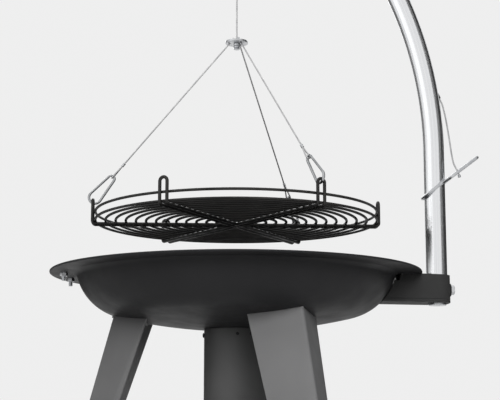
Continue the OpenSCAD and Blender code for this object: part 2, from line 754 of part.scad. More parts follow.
// Half of one frame: two rods under the rings, bent up outside them and joined in a loop
module half_frame() {
    bend = ring_z - frame_z;
    rod_r = frame_rod / 2;
    rise_low = frame_z + bend;
    rise_top = loop_top_z - pair_gap / 2;
    for (s = [-1, 1]) translate([0, s * pair_gap / 2, 0]) {
        translate([0, 0, frame_z]) rotate([0, 90, 0]) cylinder(r = rod_r, h = loop_r - bend, $fn = 24);
        translate([loop_r - bend, 0, rise_low]) rotate([90, 0, 0]) rotate([0, 0, -90])
            rotate_extrude(angle = 90) translate([bend, 0]) circle(rod_r, $fn = 24);
        translate([loop_r, 0, rise_low]) cylinder(r = rod_r, h = rise_top - rise_low, $fn = 24);
    }
    translate([loop_r, 0, rise_top]) rotate([0, 0, 90]) rotate([90, 0, 0])
        rotate_extrude(angle = 180) translate([pair_gap / 2, 0]) circle(rod_r, $fn = 24);
}

module grate_frames() {
    color(soot) for (i = [0:5]) rotate([0, 0, grate_turn + 60 * i]) half_frame();
}

// The lever: one rod bent round the pole, drawn together beyond it and closed at its handle end
lever_r = lever_rod / 2;
lever_turn_r = pole_r + 0.25 + lever_r;
lever_back = lever_turn_r / cos(lever_slope);
lever_bow_x = lever_turn_r - lever_back;
lever_pair = lever_r + cable_r + 0.3;
lever_wide = 14;
lever_narrow = 38;
lever_eye = 58;
lever_bend = 8;
lever_end_x = lever_len - lever_pair - lever_r;

// The lever's line on one side of its middle, as x and y in its own plane, from its far end
// round to the back of the pole
lever_turn = atan2(lever_turn_r - lever_pair, lever_narrow - lever_wide);
lever_tan = lever_bend * tan(lever_turn / 2);
lever_half = concat(
    arc([lever_end_x, 0], lever_pair, 0, 90, 4),
    arc([lever_narrow + lever_tan, lever_pair + lever_bend], lever_bend, 270, 270 - lever_turn, 4),
    arc([lever_wide - lever_tan, lever_turn_r - lever_bend], lever_bend, 90 - lever_turn, 90, 4),
    arc([lever_bow_x, 0], lever_turn_r, 90, 180, 12));
lever_line = concat(lever_half,
    [for (i = [len(lever_half) - 2:-1:1]) [lever_half[i][0], -lever_half[i][1]]]);
lever_count = len(lever_line);
lever_sides = 16;

// Corner k of the rod's section at point i of that line, in the plane that halves the line's bend
function lever_corner(i, k) = let (p = lever_line[i],
    u = p - lever_line[(i + lever_count - 1) % lever_count], v = lever_line[(i + 1) % lever_count] - p,
    d = u / norm(u) + v / norm(v), side = lever_r * 2 / norm(d) * [d[1], -d[0]] / norm(d),
    a = 360 * k / lever_sides)
    [p[0] + cos(a) * side[0], p[1] + cos(a) * side[1], lever_r * sin(a)];

module clamp_lever() {
    n = lever_count;
    m = lever_sides;
    color(zinc) translate([pole_x, 0, rim_h + lever_z]) rotate([0, -lever_slope, 0]) polyhedron(
        points = [for (i = [0:n - 1]) for (k = [0:m - 1]) lever_corner(i, k)],
        faces = [for (i = [0:n - 1]) for (k = [0:m - 1])
            [i * m + k, i * m + (k + 1) % m, (i + 1) % n * m + (k + 1) % m, (i + 1) % n * m + k]]);
}

// The tail's route, in x and z: first from where it leaves the pole, then from the lever's eye
exit_p = [bend_cx, bend_cz] + (pole_bend_r + pole_r) * [cos(exit_turn), sin(exit_turn)];
tail_p = [pole_x + lever_eye * cos(lever_slope), rim_h + lever_z + lever_eye * sin(lever_slope)];
tail_end = [1.5, -6];
tail_route = concat(
    [for (p = [[-2.1, 4.5], [0, 0], [5.5, -12], [9, -26], [13, -47], [18, -83]]) exit_p + p],
    [for (p = [[-9, 20], [0, 0], tail_end, 2 * tail_end]) tail_p + p]);
tail_steps = 6;
tail_rings = (len(tail_route) - 3) * tail_steps;
tail_sides = 8;

// A smooth curve through the route's points
function spline(a, b, c, d, u) = 0.5 * (2 * b + (c - a) * u + (2 * a - 5 * b + 4 * c - d) * u * u
    + (3 * b - a - 3 * c + d) * u * u * u);
function tail_point(i) = let (k = min(floor(i / tail_steps), len(tail_route) - 4), u = i / tail_steps - k)
    spline(tail_route[k], tail_route[k + 1], tail_route[k + 2], tail_route[k + 3], u);
function tail_dir(i) = tail_point(min(i + 1, tail_rings)) - tail_point(max(i - 1, 0));
function tail_side(i) = let (d = tail_dir(i)) [d[1], -d[0]] / norm(d);
function tail_corner(i, k) = let (p = tail_point(i), q = tail_side(i), a = 360 * k / tail_sides)
    [p[0] + cable_r * cos(a) * q[0], cable_r * sin(a), p[1] + cable_r * cos(a) * q[1]];

module cable_tail() {
    color(steel) polyhedron(
        points = [for (i = [0:tail_rings]) for (k = [0:tail_sides - 1]) tail_corner(i, k)],
        faces = concat(
            [[for (k = [0:tail_sides - 1]) tail_sides - 1 - k]],
            [for (i = [0:tail_rings - 1]) for (k = [0:tail_sides - 1])
                [i * tail_sides + k, i * tail_sides + (k + 1) % tail_sides,
                (i + 1) * tail_sides + (k + 1) % tail_sides, (i + 1) * tail_sides + k]],
            [[for (k = [0:tail_sides - 1]) tail_rings * tail_sides + k]]));
}

// Crimped stop below the lever, on the tail's end
module tail_stop() {
    color(zinc) translate([tail_p[0] + tail_end[0], 0, tail_p[1] + tail_end[1]])
        rotate([0, atan2(tail_end[0], tail_end[1]), 0]) translate([0, 0, seat])
            cylinder(d = 2 * cable_d, h = 5);
}

fire_bowl();
leg_left();
leg_front();
leg_rear();
foot_plates();
leg_bolts();
leg_nuts();
ash_collar();
ash_pot();
ash_pot_screws();
ash_grid();
rim_screws();
rim_screw_nuts();
bracket_strap();
bracket_floor();
bracket_roof();
bracket_bolts();
bracket_nuts();
clamp_boss();
clamp_bolt();
gallows_pole();
pole_foot();
pole_cap();
exit_grommet();
tip_roller();
roller_pin();
cable_inside();
cable_drop();
cable_tail();
tail_stop();
clamp_lever();
drop_stop();
hanger_plate();
wires();
wire_ferrules();
hook_left();
hook_front();
hook_rear();
gate_left();
gate_front();
gate_rear();
grate_rings();
grate_rail();
grate_frames();
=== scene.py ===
# %% [markdown]
# # A swivel charcoal grill
# A dished steel fire bowl stands on three folded-sheet legs. A bent tube, the gallows, stands in a
# bracket under the rim and hangs a round grate over the coals on a steel cable. The frame that is
# loaded here holds the grill's measured solids. Each cell makes one piece that looks as the real
# one does and hides the plain solid it stands for.

import math

import bpy
from mathutils import Matrix, Vector


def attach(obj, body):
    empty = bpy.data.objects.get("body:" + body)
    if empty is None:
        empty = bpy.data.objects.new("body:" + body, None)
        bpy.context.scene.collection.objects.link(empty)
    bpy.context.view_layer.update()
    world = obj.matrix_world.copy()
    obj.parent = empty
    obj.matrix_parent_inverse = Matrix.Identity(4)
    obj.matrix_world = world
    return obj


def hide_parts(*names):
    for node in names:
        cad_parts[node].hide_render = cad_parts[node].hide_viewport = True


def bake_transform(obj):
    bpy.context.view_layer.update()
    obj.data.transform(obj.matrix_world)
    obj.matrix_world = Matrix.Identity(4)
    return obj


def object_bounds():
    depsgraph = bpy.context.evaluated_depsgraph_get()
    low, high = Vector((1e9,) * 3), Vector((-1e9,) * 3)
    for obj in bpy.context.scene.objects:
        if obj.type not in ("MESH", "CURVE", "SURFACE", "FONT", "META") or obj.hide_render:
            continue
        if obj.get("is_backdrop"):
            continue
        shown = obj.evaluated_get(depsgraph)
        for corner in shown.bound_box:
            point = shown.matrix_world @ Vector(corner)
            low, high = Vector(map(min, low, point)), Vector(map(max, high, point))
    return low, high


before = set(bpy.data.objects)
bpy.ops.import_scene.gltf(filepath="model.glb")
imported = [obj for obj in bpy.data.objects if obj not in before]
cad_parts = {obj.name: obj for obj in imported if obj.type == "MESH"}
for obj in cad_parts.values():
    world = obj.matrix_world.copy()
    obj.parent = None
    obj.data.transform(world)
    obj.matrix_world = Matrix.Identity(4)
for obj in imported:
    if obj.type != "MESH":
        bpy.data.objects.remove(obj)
cad_box = [list(corner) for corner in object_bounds()]
print("solids from", [round(v, 3) for v in cad_box[0]], "to", [round(v, 3) for v in cad_box[1]])

# %% [markdown]
# ## The sizes that the pieces share
# The solids are in metres with +Z up, and the origin lies on the ground below the middle of the
# bowl. The same named sizes drive the solids, so a piece made from them lies where its solid does.
# Pieces that touch stay a tenth of a millimetre apart, which is SEAT. The bowl's section is three
# arcs: the crown is its flat bottom, the knuckle its round corner, the bend leads out to the rim.

# %% Sizes of the bowl, the gallows and the grate
RIM_Z = 0.600
RIM_R = 0.350
SHEET = 0.004
BOWL_DEPTH = 0.107
CROWN_R, KNUCKLE_R, KNUCKLE_X, BEND_R = 1.000, 0.100, 0.202, 0.012
CROWN_Z = CROWN_R - BOWL_DEPTH
KNUCKLE_Z = CROWN_Z - math.sqrt((CROWN_R - KNUCKLE_R) ** 2 - KNUCKLE_X**2)
BEND_Z = -SHEET - BEND_R
BEND_X = KNUCKLE_X + math.sqrt((KNUCKLE_R + BEND_R) ** 2 - (KNUCKLE_Z - BEND_Z) ** 2)
CROWN_END = math.atan2(KNUCKLE_Z - CROWN_Z, KNUCKLE_X)
KNUCKLE_END = math.atan2(BEND_Z - KNUCKLE_Z, BEND_X - KNUCKLE_X)
DRAIN_R = 0.042
LEG_TURNS = [math.radians(a) for a in (180, -60, 60)]
POLE_X, POLE_R, POLE_WALL, POLE_BEND = 0.3805, 0.020, 0.002, 0.785
BEND_START = 0.840
TIP_PAST_DROP = 0.046
TIP_TURN = math.acos(1 - POLE_X / POLE_BEND) + TIP_PAST_DROP / POLE_BEND
BRACKET_H = 0.046
FLOOR_TOP = RIM_Z - SHEET - BRACKET_H
CABLE_R = 0.0015
GRATE_TURN = math.radians(2.8)
RING_PITCH, RING_Z, ROD_R, FRAME_ROD_R = 0.0191, 0.6985, 0.0025, 0.003
SEAT = 0.0001
QUARTER, HALF, FULL = math.pi / 2, math.pi, 2 * math.pi
print("knuckle centre", round(KNUCKLE_X, 4), round(KNUCKLE_Z, 4), "rim bend at", round(BEND_X, 4))

# %% [markdown]
# ## Hand tools for the rest of the script
# Blender's operators act on whatever is selected, so each helper first picks its own object. A
# piece is finished with its place written into its mesh, because the bodies move the pieces later.

# %% Pick, settle, smooth and apply
def pick(*things):
    bpy.ops.object.select_all(action="DESELECT")
    for thing in things:
        thing.select_set(True)
    bpy.context.view_layer.objects.active = things[0]
    return things[0]


def new_object(name, data):
    obj = bpy.data.objects.new(name, data)
    bpy.context.scene.collection.objects.link(obj)
    return obj


def edit(obj, *steps):
    """Runs each step in edit mode with the whole mesh selected."""
    pick(obj)
    bpy.ops.object.mode_set(mode="EDIT")
    for step in steps:
        bpy.ops.mesh.select_mode(type="VERT")
        bpy.ops.mesh.select_all(action="SELECT")
        step()
    bpy.ops.object.mode_set(mode="OBJECT")
    return obj


def extrude(by):
    bpy.ops.mesh.extrude_region_move(TRANSFORM_OT_translate={"value": by})


def face_outwards():
    bpy.ops.mesh.normals_make_consistent(inside=False)


def settle(obj, name):
    pick(obj)
    bpy.ops.object.transform_apply(location=True, rotation=True, scale=True)
    obj.name = obj.data.name = name
    return obj


def weld(obj, reach=1e-6):
    return edit(obj, lambda: bpy.ops.mesh.remove_doubles(threshold=reach), face_outwards)


def smooth(obj, angle=35):
    pick(obj)
    bpy.ops.object.shade_smooth_by_angle(angle=math.radians(angle))
    return obj


def modify(obj, kind, **settings):
    """Adds one modifier, sets it and applies it."""
    modifier = obj.modifiers.new(kind.lower(), kind)
    for key, value in settings.items():
        setattr(modifier, key, value)
    pick(obj)
    bpy.ops.object.modifier_apply(modifier=modifier.name)
    return obj


def round_edges(obj, width, segments=2, angle=35):
    limit = {"limit_method": "ANGLE", "angle_limit": math.radians(angle)}
    modify(obj, "BEVEL", width=width, segments=segments, **limit)
    return smooth(obj)

# %% [markdown]
# Holes are made as in a workshop: a tool is modelled, put in place and subtracted. The tool is
# discarded once it has done its work. A place is a matrix, and places are joined up with @.

# %% Cut, drill, copy, place and join
def cut(obj, tool, how="DIFFERENCE"):
    return modify(obj, "BOOLEAN", object=tool, operation=how, solver="EXACT")


def discard(*tools):
    for tool in tools:
        bpy.data.objects.remove(tool)


def drill_through(obj, radius, length, place, sides=48):
    """A round hole, cut with a cylinder that stands along the place's Z axis."""
    bpy.ops.mesh.primitive_cylinder_add(vertices=sides, radius=radius, depth=length)
    drill = bpy.context.object
    drill.matrix_world = place
    settle(drill, "drill")
    cut(obj, drill)
    discard(drill)


def copied(obj, name, place):
    """A copy of obj with its own mesh, put in place by a matrix."""
    pick(obj)
    bpy.ops.object.duplicate()
    new = bpy.context.object
    new.matrix_world = place
    return settle(new, name)


def turned_by(angle, axis):
    return Matrix.Rotation(angle, 4, axis)


def moved_to(x, y, z):
    return Matrix.Translation((x, y, z))


def lift(z):
    return moved_to(0, 0, z)


def joined(name, *things):
    pick(*things)
    bpy.ops.object.join()
    things[0].name = things[0].data.name = name
    return things[0]

# %% [markdown]
# Two ways of making a shape come back again and again. A turned part, such as the bowl, is half a
# section that is spun round an axis. A bent rod is a line with rounded corners that is given a
# thickness. Both start from a line, drawn by extruding one point from place to place.

# %% Draw a line, spin a section, bend a rod
SAME_SPOT = 1e-5


def drawn(name, points, closed=False):
    """A mesh of points joined in a row: one point, extruded from place to place."""
    points = [Vector(p) for p in points]
    bpy.ops.mesh.primitive_plane_add(size=0.01)
    obj = bpy.context.object
    obj.name = obj.data.name = name

    def draw():
        bpy.ops.mesh.merge(type="CENTER")
        bpy.ops.transform.translate(value=points[0])
        for a, b in zip(points, points[1:]):
            extrude(b - a)

    edit(obj, draw)
    if closed:
        ends = (0, len(points) - 1)
        for i, vertex in enumerate(obj.data.vertices):
            vertex.select = i in ends
        bpy.ops.object.mode_set(mode="EDIT")
        bpy.ops.mesh.edge_face_add()
        bpy.ops.object.mode_set(mode="OBJECT")
    return obj


def turned(name, section, steps=96, closed=True):
    """A section in radius and height, spun round the Z axis."""
    obj = drawn(name, [(r, 0, z) for r, z in section], closed)
    edit(obj, lambda: bpy.ops.mesh.spin(steps=steps, angle=FULL, center=(0, 0, 0), axis=(0, 0, 1)))
    return smooth(weld(obj))


def bent(corners, radius, step=math.radians(9)):
    """The points of a line through corners, each rounded to radius."""
    corners = [Vector(c) for c in corners]
    points = [corners[0]]
    for a, b, c in zip(corners, corners[1:], corners[2:]):
        u, v = (a - b).normalized(), (c - b).normalized()
        half = u.angle(v) / 2
        centre = b + (u + v).normalized() * radius / math.sin(half)
        start = b + u * radius / math.tan(half) - centre
        end = b + v * radius / math.tan(half) - centre
        turn = math.pi - 2 * half
        count = max(2, math.ceil(turn / step))
        for i in range(count + 1):
            t = i / count
            arm = (start * math.sin((1 - t) * turn) + end * math.sin(t * turn)) / math.sin(turn)
            if (centre + arm - points[-1]).length > SAME_SPOT:
                points.append(centre + arm)
    return points + [corners[-1]]


def rod(name, line, radius, closed=False, fineness=5):
    """A line given a round thickness, by way of a curve."""
    obj = drawn(name, line, closed)
    pick(obj)
    bpy.ops.object.convert(target="CURVE")
    obj.data.dimensions = "3D"
    obj.data.bevel_depth = radius
    obj.data.bevel_resolution = fineness
    obj.data.use_fill_caps = not closed
    bpy.ops.object.convert(target="MESH")
    return smooth(weld(obj), 50)


def arc(centre, radius, a0, a1, count):
    """Points of an arc in a section, as (radius, height)."""
    angles = [a0 + (a1 - a0) * i / count for i in range(count + 1)]
    return [(centre[0] + radius * math.cos(a), centre[1] + radius * math.sin(a)) for a in angles]

# %% [markdown]
# ## Shared surface effects
# Paint, zinc and plastic all have a fine grain and a slow drift of gloss over the surface. One node
# group makes both from Object coordinates, and each material asks it for its own scale. A second
# group lays drawn lines along a tube or a wire, from that piece's own UV map.

# %% Node groups: grain and haze, and drawn lines
def preset(node, values):
    """Sets a node's plain numbers on its own sockets."""
    for title, value in values.items():
        node.inputs[title].default_value = value
    return node


def added(tree, kind, values, *sources, **settings):
    """A new node with its numbers and settings, and its first sockets fed from the sources."""
    node = tree.nodes.new("ShaderNode" + kind)
    for key, value in settings.items():
        setattr(node, key, value)
    for source, socket in zip(sources, node.inputs):
        tree.links.new(source, socket)
    return preset(node, values)


def new_material(name):
    mat = bpy.data.materials.new(name)
    mat.use_nodes = True
    return mat, mat.node_tree, mat.node_tree.nodes["Principled BSDF"]


def node_group(name, sockets_in, sockets_out):
    group = bpy.data.node_groups.new(name, "ShaderNodeTree")
    new_socket, plain = group.interface.new_socket, "NodeSocketFloat"
    for title, value in sockets_in.items():
        new_socket(name=title, in_out="INPUT", socket_type=plain).default_value = value
    for title in sockets_out:
        new_socket(name=title, in_out="OUTPUT", socket_type=plain)
    return group, group.nodes.new("NodeGroupInput"), group.nodes.new("NodeGroupOutput")


NOISE_ROUGHNESS = 0.55
GRAIN = {"Grain scale": 900.0, "Haze scale": 5.0, "Smudge scale": 30.0}
LINES = {"Lines across": 60.0, "Lines along": 1.5}
grain_group, grain_in, grain_out = node_group("Grain and haze", GRAIN, ["Grain", "Haze", "Smudge"])
place_node = added(grain_group, "TexCoord", {})
for title, detail in (("Grain", 2.0), ("Haze", 3.0), ("Smudge", 6.0)):
    noise = added(grain_group, "TexNoise", {"Detail": detail, "Roughness": NOISE_ROUGHNESS})
    grain_group.links.new(place_node.outputs["Object"], noise.inputs["Vector"])
    grain_group.links.new(grain_in.outputs[title + " scale"], noise.inputs["Scale"])
    grain_group.links.new(noise.outputs["Fac"], grain_out.inputs[title])

lines_group, lines_in, lines_out = node_group("Drawn lines", LINES, ["Lines"])
uv_node = added(lines_group, "UVMap", {}, uv_map="along")
split = added(lines_group, "SeparateXYZ", {}, uv_node.outputs["UV"])
stretch = added(lines_group, "CombineXYZ", {})
for axis, title in (("X", "Lines across"), ("Y", "Lines along")):
    factors = split.outputs[axis], lines_in.outputs[title]
    times = added(lines_group, "Math", {}, *factors, operation="MULTIPLY")
    lines_group.links.new(times.outputs[0], stretch.inputs[axis])
noise_numbers = {"Scale": 1.0, "Detail": 4.0, "Roughness": NOISE_ROUGHNESS}
noise = added(lines_group, "TexNoise", noise_numbers, stretch.outputs[0])
lines_group.links.new(noise.outputs["Fac"], lines_out.inputs["Lines"])
print("groups:", [g.name for g in bpy.data.node_groups])

# %% [markdown]
# ## Materials
# Each finish is one Principled shader. The groups drive its colour, roughness and bump a little, so
# that no surface is one flat colour. The plain numbers are set on the shader's own sockets. The
# bump is only the finest grain, a third of a millimetre deep at the most: all shape is in meshes.

# %% Build a finish from the groups
NOISE_LOW, NOISE_HIGH = 0.3, 0.7
BUMP_DEPTH = 0.0003


def ramp(tree, fac, low, high):
    """Spreads the middle of a noise over the range from low to high."""
    ends = {"From Min": NOISE_LOW, "From Max": NOISE_HIGH, "To Min": low, "To Max": high}
    return added(tree, "MapRange", ends, fac).outputs["Result"]


def finish(name, dark, light, rough, bump, scales, metal=0.0, lines=None, level=0.5):
    """A material: dark and light are the ends of its colour, rough the ends of its roughness."""
    mat, tree, shader = new_material(name)
    preset(shader, {"Metallic": metal, "Specular IOR Level": level})
    group = added(tree, "Group", {}, node_tree=grain_group)
    preset(group, dict(zip(GRAIN, scales)))
    colour = added(tree, "Mix", {}, data_type="RGBA")
    preset(colour, {"A": (*dark, 1), "B": (*light, 1)})
    height, drift = group.outputs["Grain"], group.outputs["Haze"]
    if lines:
        drawn_node = added(tree, "Group", {}, node_tree=lines_group)
        preset(drawn_node, dict(zip(LINES, lines)))
        height = drift = drawn_node.outputs["Lines"]
    tree.links.new(ramp(tree, drift, 0, 1), colour.inputs["Factor"])
    tree.links.new(colour.outputs["Result"], shader.inputs["Base Color"])
    tree.links.new(ramp(tree, group.outputs["Smudge"], *rough), shader.inputs["Roughness"])
    relief = added(tree, "Bump", {"Strength": bump, "Distance": BUMP_DEPTH})
    tree.links.new(height, relief.inputs["Height"])
    tree.links.new(relief.outputs["Normal"], shader.inputs["Normal"])
    return mat

# %% [markdown]
# The photograph shows four dark paints: nearly black and half matt on the bowl, dark grey on the
# bracket and the pot, mid grey on the legs. The grate is oiled and burnt black. The tube is
# polished, the cable dull, the hooks a darker steel than the zinc of the bolts. Colours are given
# as their darker and lighter ends.

# %% The grill's finishes
bowl_paint = finish(
    "heat-proof paint", (0.013, 0.013, 0.014), (0.019, 0.019, 0.020), (0.44, 0.56),
    bump=0.16, scales=(1100, 4, 26), level=0.13,
)
leg_paint = finish(
    "leg paint", (0.128, 0.128, 0.129), (0.160, 0.160, 0.161), (0.42, 0.55),
    bump=0.18, scales=(1100, 5, 30), level=0.25,
)
bracket_paint = finish(
    "bracket paint", (0.027, 0.027, 0.027), (0.038, 0.038, 0.038), (0.52, 0.64),
    bump=0.2, scales=(1000, 6, 30), level=0.12,
)
pot_paint = finish(
    "ash pot paint", (0.052, 0.052, 0.052), (0.072, 0.072, 0.072), (0.42, 0.56),
    bump=0.18, scales=(1000, 6, 26), level=0.2,
)
grate_black = finish(
    "seasoned steel", (0.009, 0.009, 0.009), (0.020, 0.019, 0.018), (0.36, 0.58),
    bump=0.25, scales=(700, 18, 60), level=0.3,
)
stainless = finish(
    "polished tube", (0.80, 0.81, 0.83), (0.93, 0.94, 0.95), (0.14, 0.24),
    bump=0.05, scales=(900, 3, 14), metal=1.0, lines=(70, 1.2),
)
strand_steel = finish(
    "cable steel", (0.50, 0.50, 0.51), (0.74, 0.74, 0.74), (0.24, 0.40),
    bump=0.1, scales=(1500, 60, 200), metal=1.0,
)
zinc = finish(
    "bright zinc", (0.50, 0.51, 0.53), (0.68, 0.69, 0.70), (0.22, 0.40),
    bump=0.12, scales=(1400, 40, 160), metal=1.0,
)
hook_steel = finish(
    "hook steel", (0.34, 0.35, 0.36), (0.50, 0.51, 0.52), (0.18, 0.32),
    bump=0.1, scales=(1400, 40, 160), metal=1.0,
)
plastic = finish(
    "black plastic", (0.017, 0.017, 0.017), (0.028, 0.028, 0.028), (0.45, 0.6),
    bump=0.1, scales=(1600, 20, 80),
)
print("finishes:", [m.name for m in bpy.data.materials if m.use_nodes])

# %% [markdown]
# A finished piece gets its material, rides on the body that carries it and hides the solids that it
# replaces. Where the plain solid already has the right shape, it stays.

# %% Give a piece its material and body, and hide the solids it stands for
EASED_WELD, FLAT_ENOUGH = 2e-6, math.radians(0.6)


def dress(obj, material, body, slot, *nodes):
    obj.data.materials.clear()
    obj.data.materials.append(material)
    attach(obj, body)
    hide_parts(*nodes)
    print(f"{obj.name}: {len(obj.data.vertices)} points, on {body}")
    return obj


def dress_solid(node, material):
    """A solid whose own shape is right stays, with a better material."""
    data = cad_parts[node].data
    data.materials.clear()
    data.materials.append(material)


def eased(node, name, width):
    """A copy of a solid with its hard edges broken, as on cut and welded plate."""
    obj = new_object(name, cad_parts[node].data.copy())
    weld(obj, EASED_WELD)
    edit(obj, lambda: bpy.ops.mesh.dissolve_limited(angle_limit=FLAT_ENOUGH))
    return round_edges(obj, width)

# %% [markdown]
# ## The fire bowl
# The real bowl is one sheet, spun and dished: a very shallow bottom, a round knuckle, a steep side
# and a flat rim whose edge is as thick as the sheet. Half of its section is drawn in arcs and spun
# round the middle. The section starts at the hole that lets the ash fall.

# %% Spin the fire bowl
CROWN_STEPS, KNUCKLE_STEPS, BEND_POINTS, BOWL_STEPS = 20, 36, 10, 192


def bowl_line(gap, start):
    """The bowl's outer face in section, grown by gap, from the radius start outwards."""
    first = math.asin(start / (CROWN_R + gap)) - QUARTER
    crown = arc((0, CROWN_Z), CROWN_R + gap, first, CROWN_END, CROWN_STEPS)
    return crown + arc(
        (KNUCKLE_X, KNUCKLE_Z), KNUCKLE_R + gap, CROWN_END, KNUCKLE_END, KNUCKLE_STEPS
    )


EDGE = (RIM_R - SHEET / 2, -SHEET / 2)
section = (
    bowl_line(0, DRAIN_R)
    + arc((BEND_X, BEND_Z), BEND_R, KNUCKLE_END + HALF, QUARTER, BEND_POINTS)
    + arc(EDGE, SHEET / 2, -QUARTER, QUARTER, BEND_POINTS)
    + arc((BEND_X, BEND_Z), BEND_R + SHEET, QUARTER, KNUCKLE_END + HALF, BEND_POINTS)
    + bowl_line(-SHEET, DRAIN_R)[::-1]
)
bowl = turned("fire_bowl_shell", [(r, z + RIM_Z) for r, z in section], steps=BOWL_STEPS)
dress(bowl, bowl_paint, "stand", "bowl_black", "fire_bowl")

# %% [markdown]
# The legs' upper ends are cut to the bowl that they carry. The tool for it is a filled bowl, a
# seat's width larger than the real one, and open to well above the rim.

# %% A solid as the bowl's outside, to trim what lies under it
TOOL_FLARE, TOOL_TOP, NEAR_AXIS = 0.013, 0.03, 0.0001


def bowl_tool(gap):
    line = bowl_line(gap, NEAR_AXIS)
    top = [(line[-1][0] + TOOL_FLARE, TOOL_TOP), (0, TOOL_TOP)]
    whole = [(0, line[0][1]), *line, *top]
    return turned("tool", [(r, z + RIM_Z) for r, z in whole], steps=BOWL_STEPS)

# %% [markdown]
# ## Legs
# A leg is one sheet, folded down its middle to a right angle. The fold faces outwards and leans,
# and both leaves get narrower towards the ground. The folded line is extruded along the lean, cut
# to its taper with two planes, given its thickness, and trimmed to the bowl that it carries.

# %% Fold one leg and trim it
LEG_T, LEG_BEND, LEG_LEAN, LEG_TOP_R, FOOT_T = 0.003, 0.006, math.radians(15), 0.2399, 0.004
LEAF_FOOT, LEAF_TOP, HALF_FOLD = 0.056, 0.102, math.radians(45)
ARM_FOOT, ARM_TOP = LEAF_FOOT * math.cos(HALF_FOLD), LEAF_TOP * math.cos(HALF_FOLD)
SHEET_WIDE, SHEET_BELOW, SHEET_LONG = 0.3, 0.2, 0.9
CLEAR_OF_RIM, CUT_EDGE = 0.02, 0.0004
LOW_Z = RIM_Z - BOWL_DEPTH
LEG_FOOT_R = LEG_TOP_R + LOW_Z * math.tan(LEG_LEAN)
leaf = math.atan2(1, math.cos(LEG_LEAN))
fold = arc((-LEG_BEND / math.sin(leaf), 0), LEG_BEND, leaf - QUARTER, QUARTER - leaf, 8)
reach = Vector((-math.cos(leaf), math.sin(leaf))) * SHEET_WIDE
near_end, far_end = Vector(fold[0]) + Vector((reach.x, -reach.y)), Vector(fold[-1]) + reach
flat_line = [near_end, *map(Vector, fold), far_end]
out = Vector((math.cos(LEG_LEAN), 0, math.sin(LEG_LEAN)))
up = Vector((-math.sin(LEG_LEAN), 0, math.cos(LEG_LEAN)))
start = Vector((LEG_FOOT_R, 0, 0)) - up * SHEET_BELOW
leg = drawn("leg", [start + out * p.x + Vector((0, p.y, 0)) for p in flat_line])
edit(leg, lambda: extrude(up * SHEET_LONG))
inner_foot, inner_top = LEG_FOOT_R - ARM_FOOT, LEG_TOP_R - ARM_TOP
taper = Vector((inner_top - inner_foot, 0, LOW_Z)).normalized()


def trimmed(place, normal, **side):
    return lambda: bpy.ops.mesh.bisect(plane_co=place, plane_no=normal, **side)


edit(
    leg,
    trimmed((0, 0, FOOT_T), (0, 0, 1), clear_inner=True),
    trimmed((inner_foot, 0, FOOT_T), (taper.z, 0, -taper.x), clear_inner=True),
    trimmed((0, 0, RIM_Z - CLEAR_OF_RIM), (0, 0, 1), clear_outer=True),
    face_outwards,
)
side_face = max(leg.data.polygons, key=lambda f: f.center.y)
if side_face.normal.y < 0:
    edit(leg, bpy.ops.mesh.flip_normals)
modify(leg, "SOLIDIFY", thickness=LEG_T, offset=-1)
under_bowl = bowl_tool(SEAT)
cut(leg, under_bowl)
discard(under_bowl)
round_edges(leg, CUT_EDGE)
print("leg's top at", round(max(v.co.z for v in leg.data.vertices), 3))

# %% [markdown]
# A tab is welded between the leaves at the top, pressed to the same shallow curve as the bowl. Two
# bolts go up through it. It is a three-cornered plate, subdivided and laid against the bowl.

# %% Shape the tab and set up the three legs
def under(x, y):
    """Height of the bowl's outer face above the ground at a place under its bottom."""
    return RIM_Z + CROWN_Z - math.sqrt(CROWN_R**2 - x * x - y * y)


TAB_T, TAB_IN, IN_FOLD, HALVINGS = 0.004, 0.002, 2 * LEG_T + 0.001, 4
tab_tip, tab_in = LEG_TOP_R - IN_FOLD, inner_top + TAB_IN
tab_half = tab_tip - tab_in
tab_corners = [(tab_tip, 0, 0), (tab_in, tab_half, 0), (tab_in, -tab_half, 0)]
tab = drawn("leg_tab", tab_corners, closed=True)
edit(tab, bpy.ops.mesh.edge_face_add, lambda: bpy.ops.mesh.quads_convert_to_tris())
for _ in range(HALVINGS):
    edit(tab, lambda: bpy.ops.mesh.subdivide(number_cuts=1))
print("tab:", len(tab.data.polygons), "faces")
for vertex in tab.data.vertices:
    vertex.co.z = under(vertex.co.x, vertex.co.y) - SEAT
edit(tab, face_outwards)
if tab.data.polygons[0].normal.z > 0:
    edit(tab, bpy.ops.mesh.flip_normals)
modify(tab, "SOLIDIFY", thickness=TAB_T, offset=1)
smooth(weld(tab))
for name, turn in zip(("left", "front", "rear"), LEG_TURNS):
    place = turned_by(turn, "Z")
    sheet, top_tab = copied(leg, f"leg_{name}_sheet", place), copied(tab, f"leg_{name}_tab", place)
    whole = joined(f"leg_{name}_folded", sheet, top_tab)
    dress(whole, leg_paint, "stand", "leg_grey", f"leg_{name}")
discard(leg, tab)

# %% [markdown]
# ## Plates
# The bracket's strap and floor end at the bowl's side, where they are welded. Their solids are cut
# a few millimetres clear of it, through which light would show. The points of that edge are moved
# straight towards the sheet, along the knuckle's radius or the rim bend's, until they nearly touch.

# %% Draw the bracket's cut edge up to the bowl
CUT_GAP, WELD_GAP, GAP_SLACK, FLANK_Y = 0.0035, 0.0009, 0.0012, 0.03


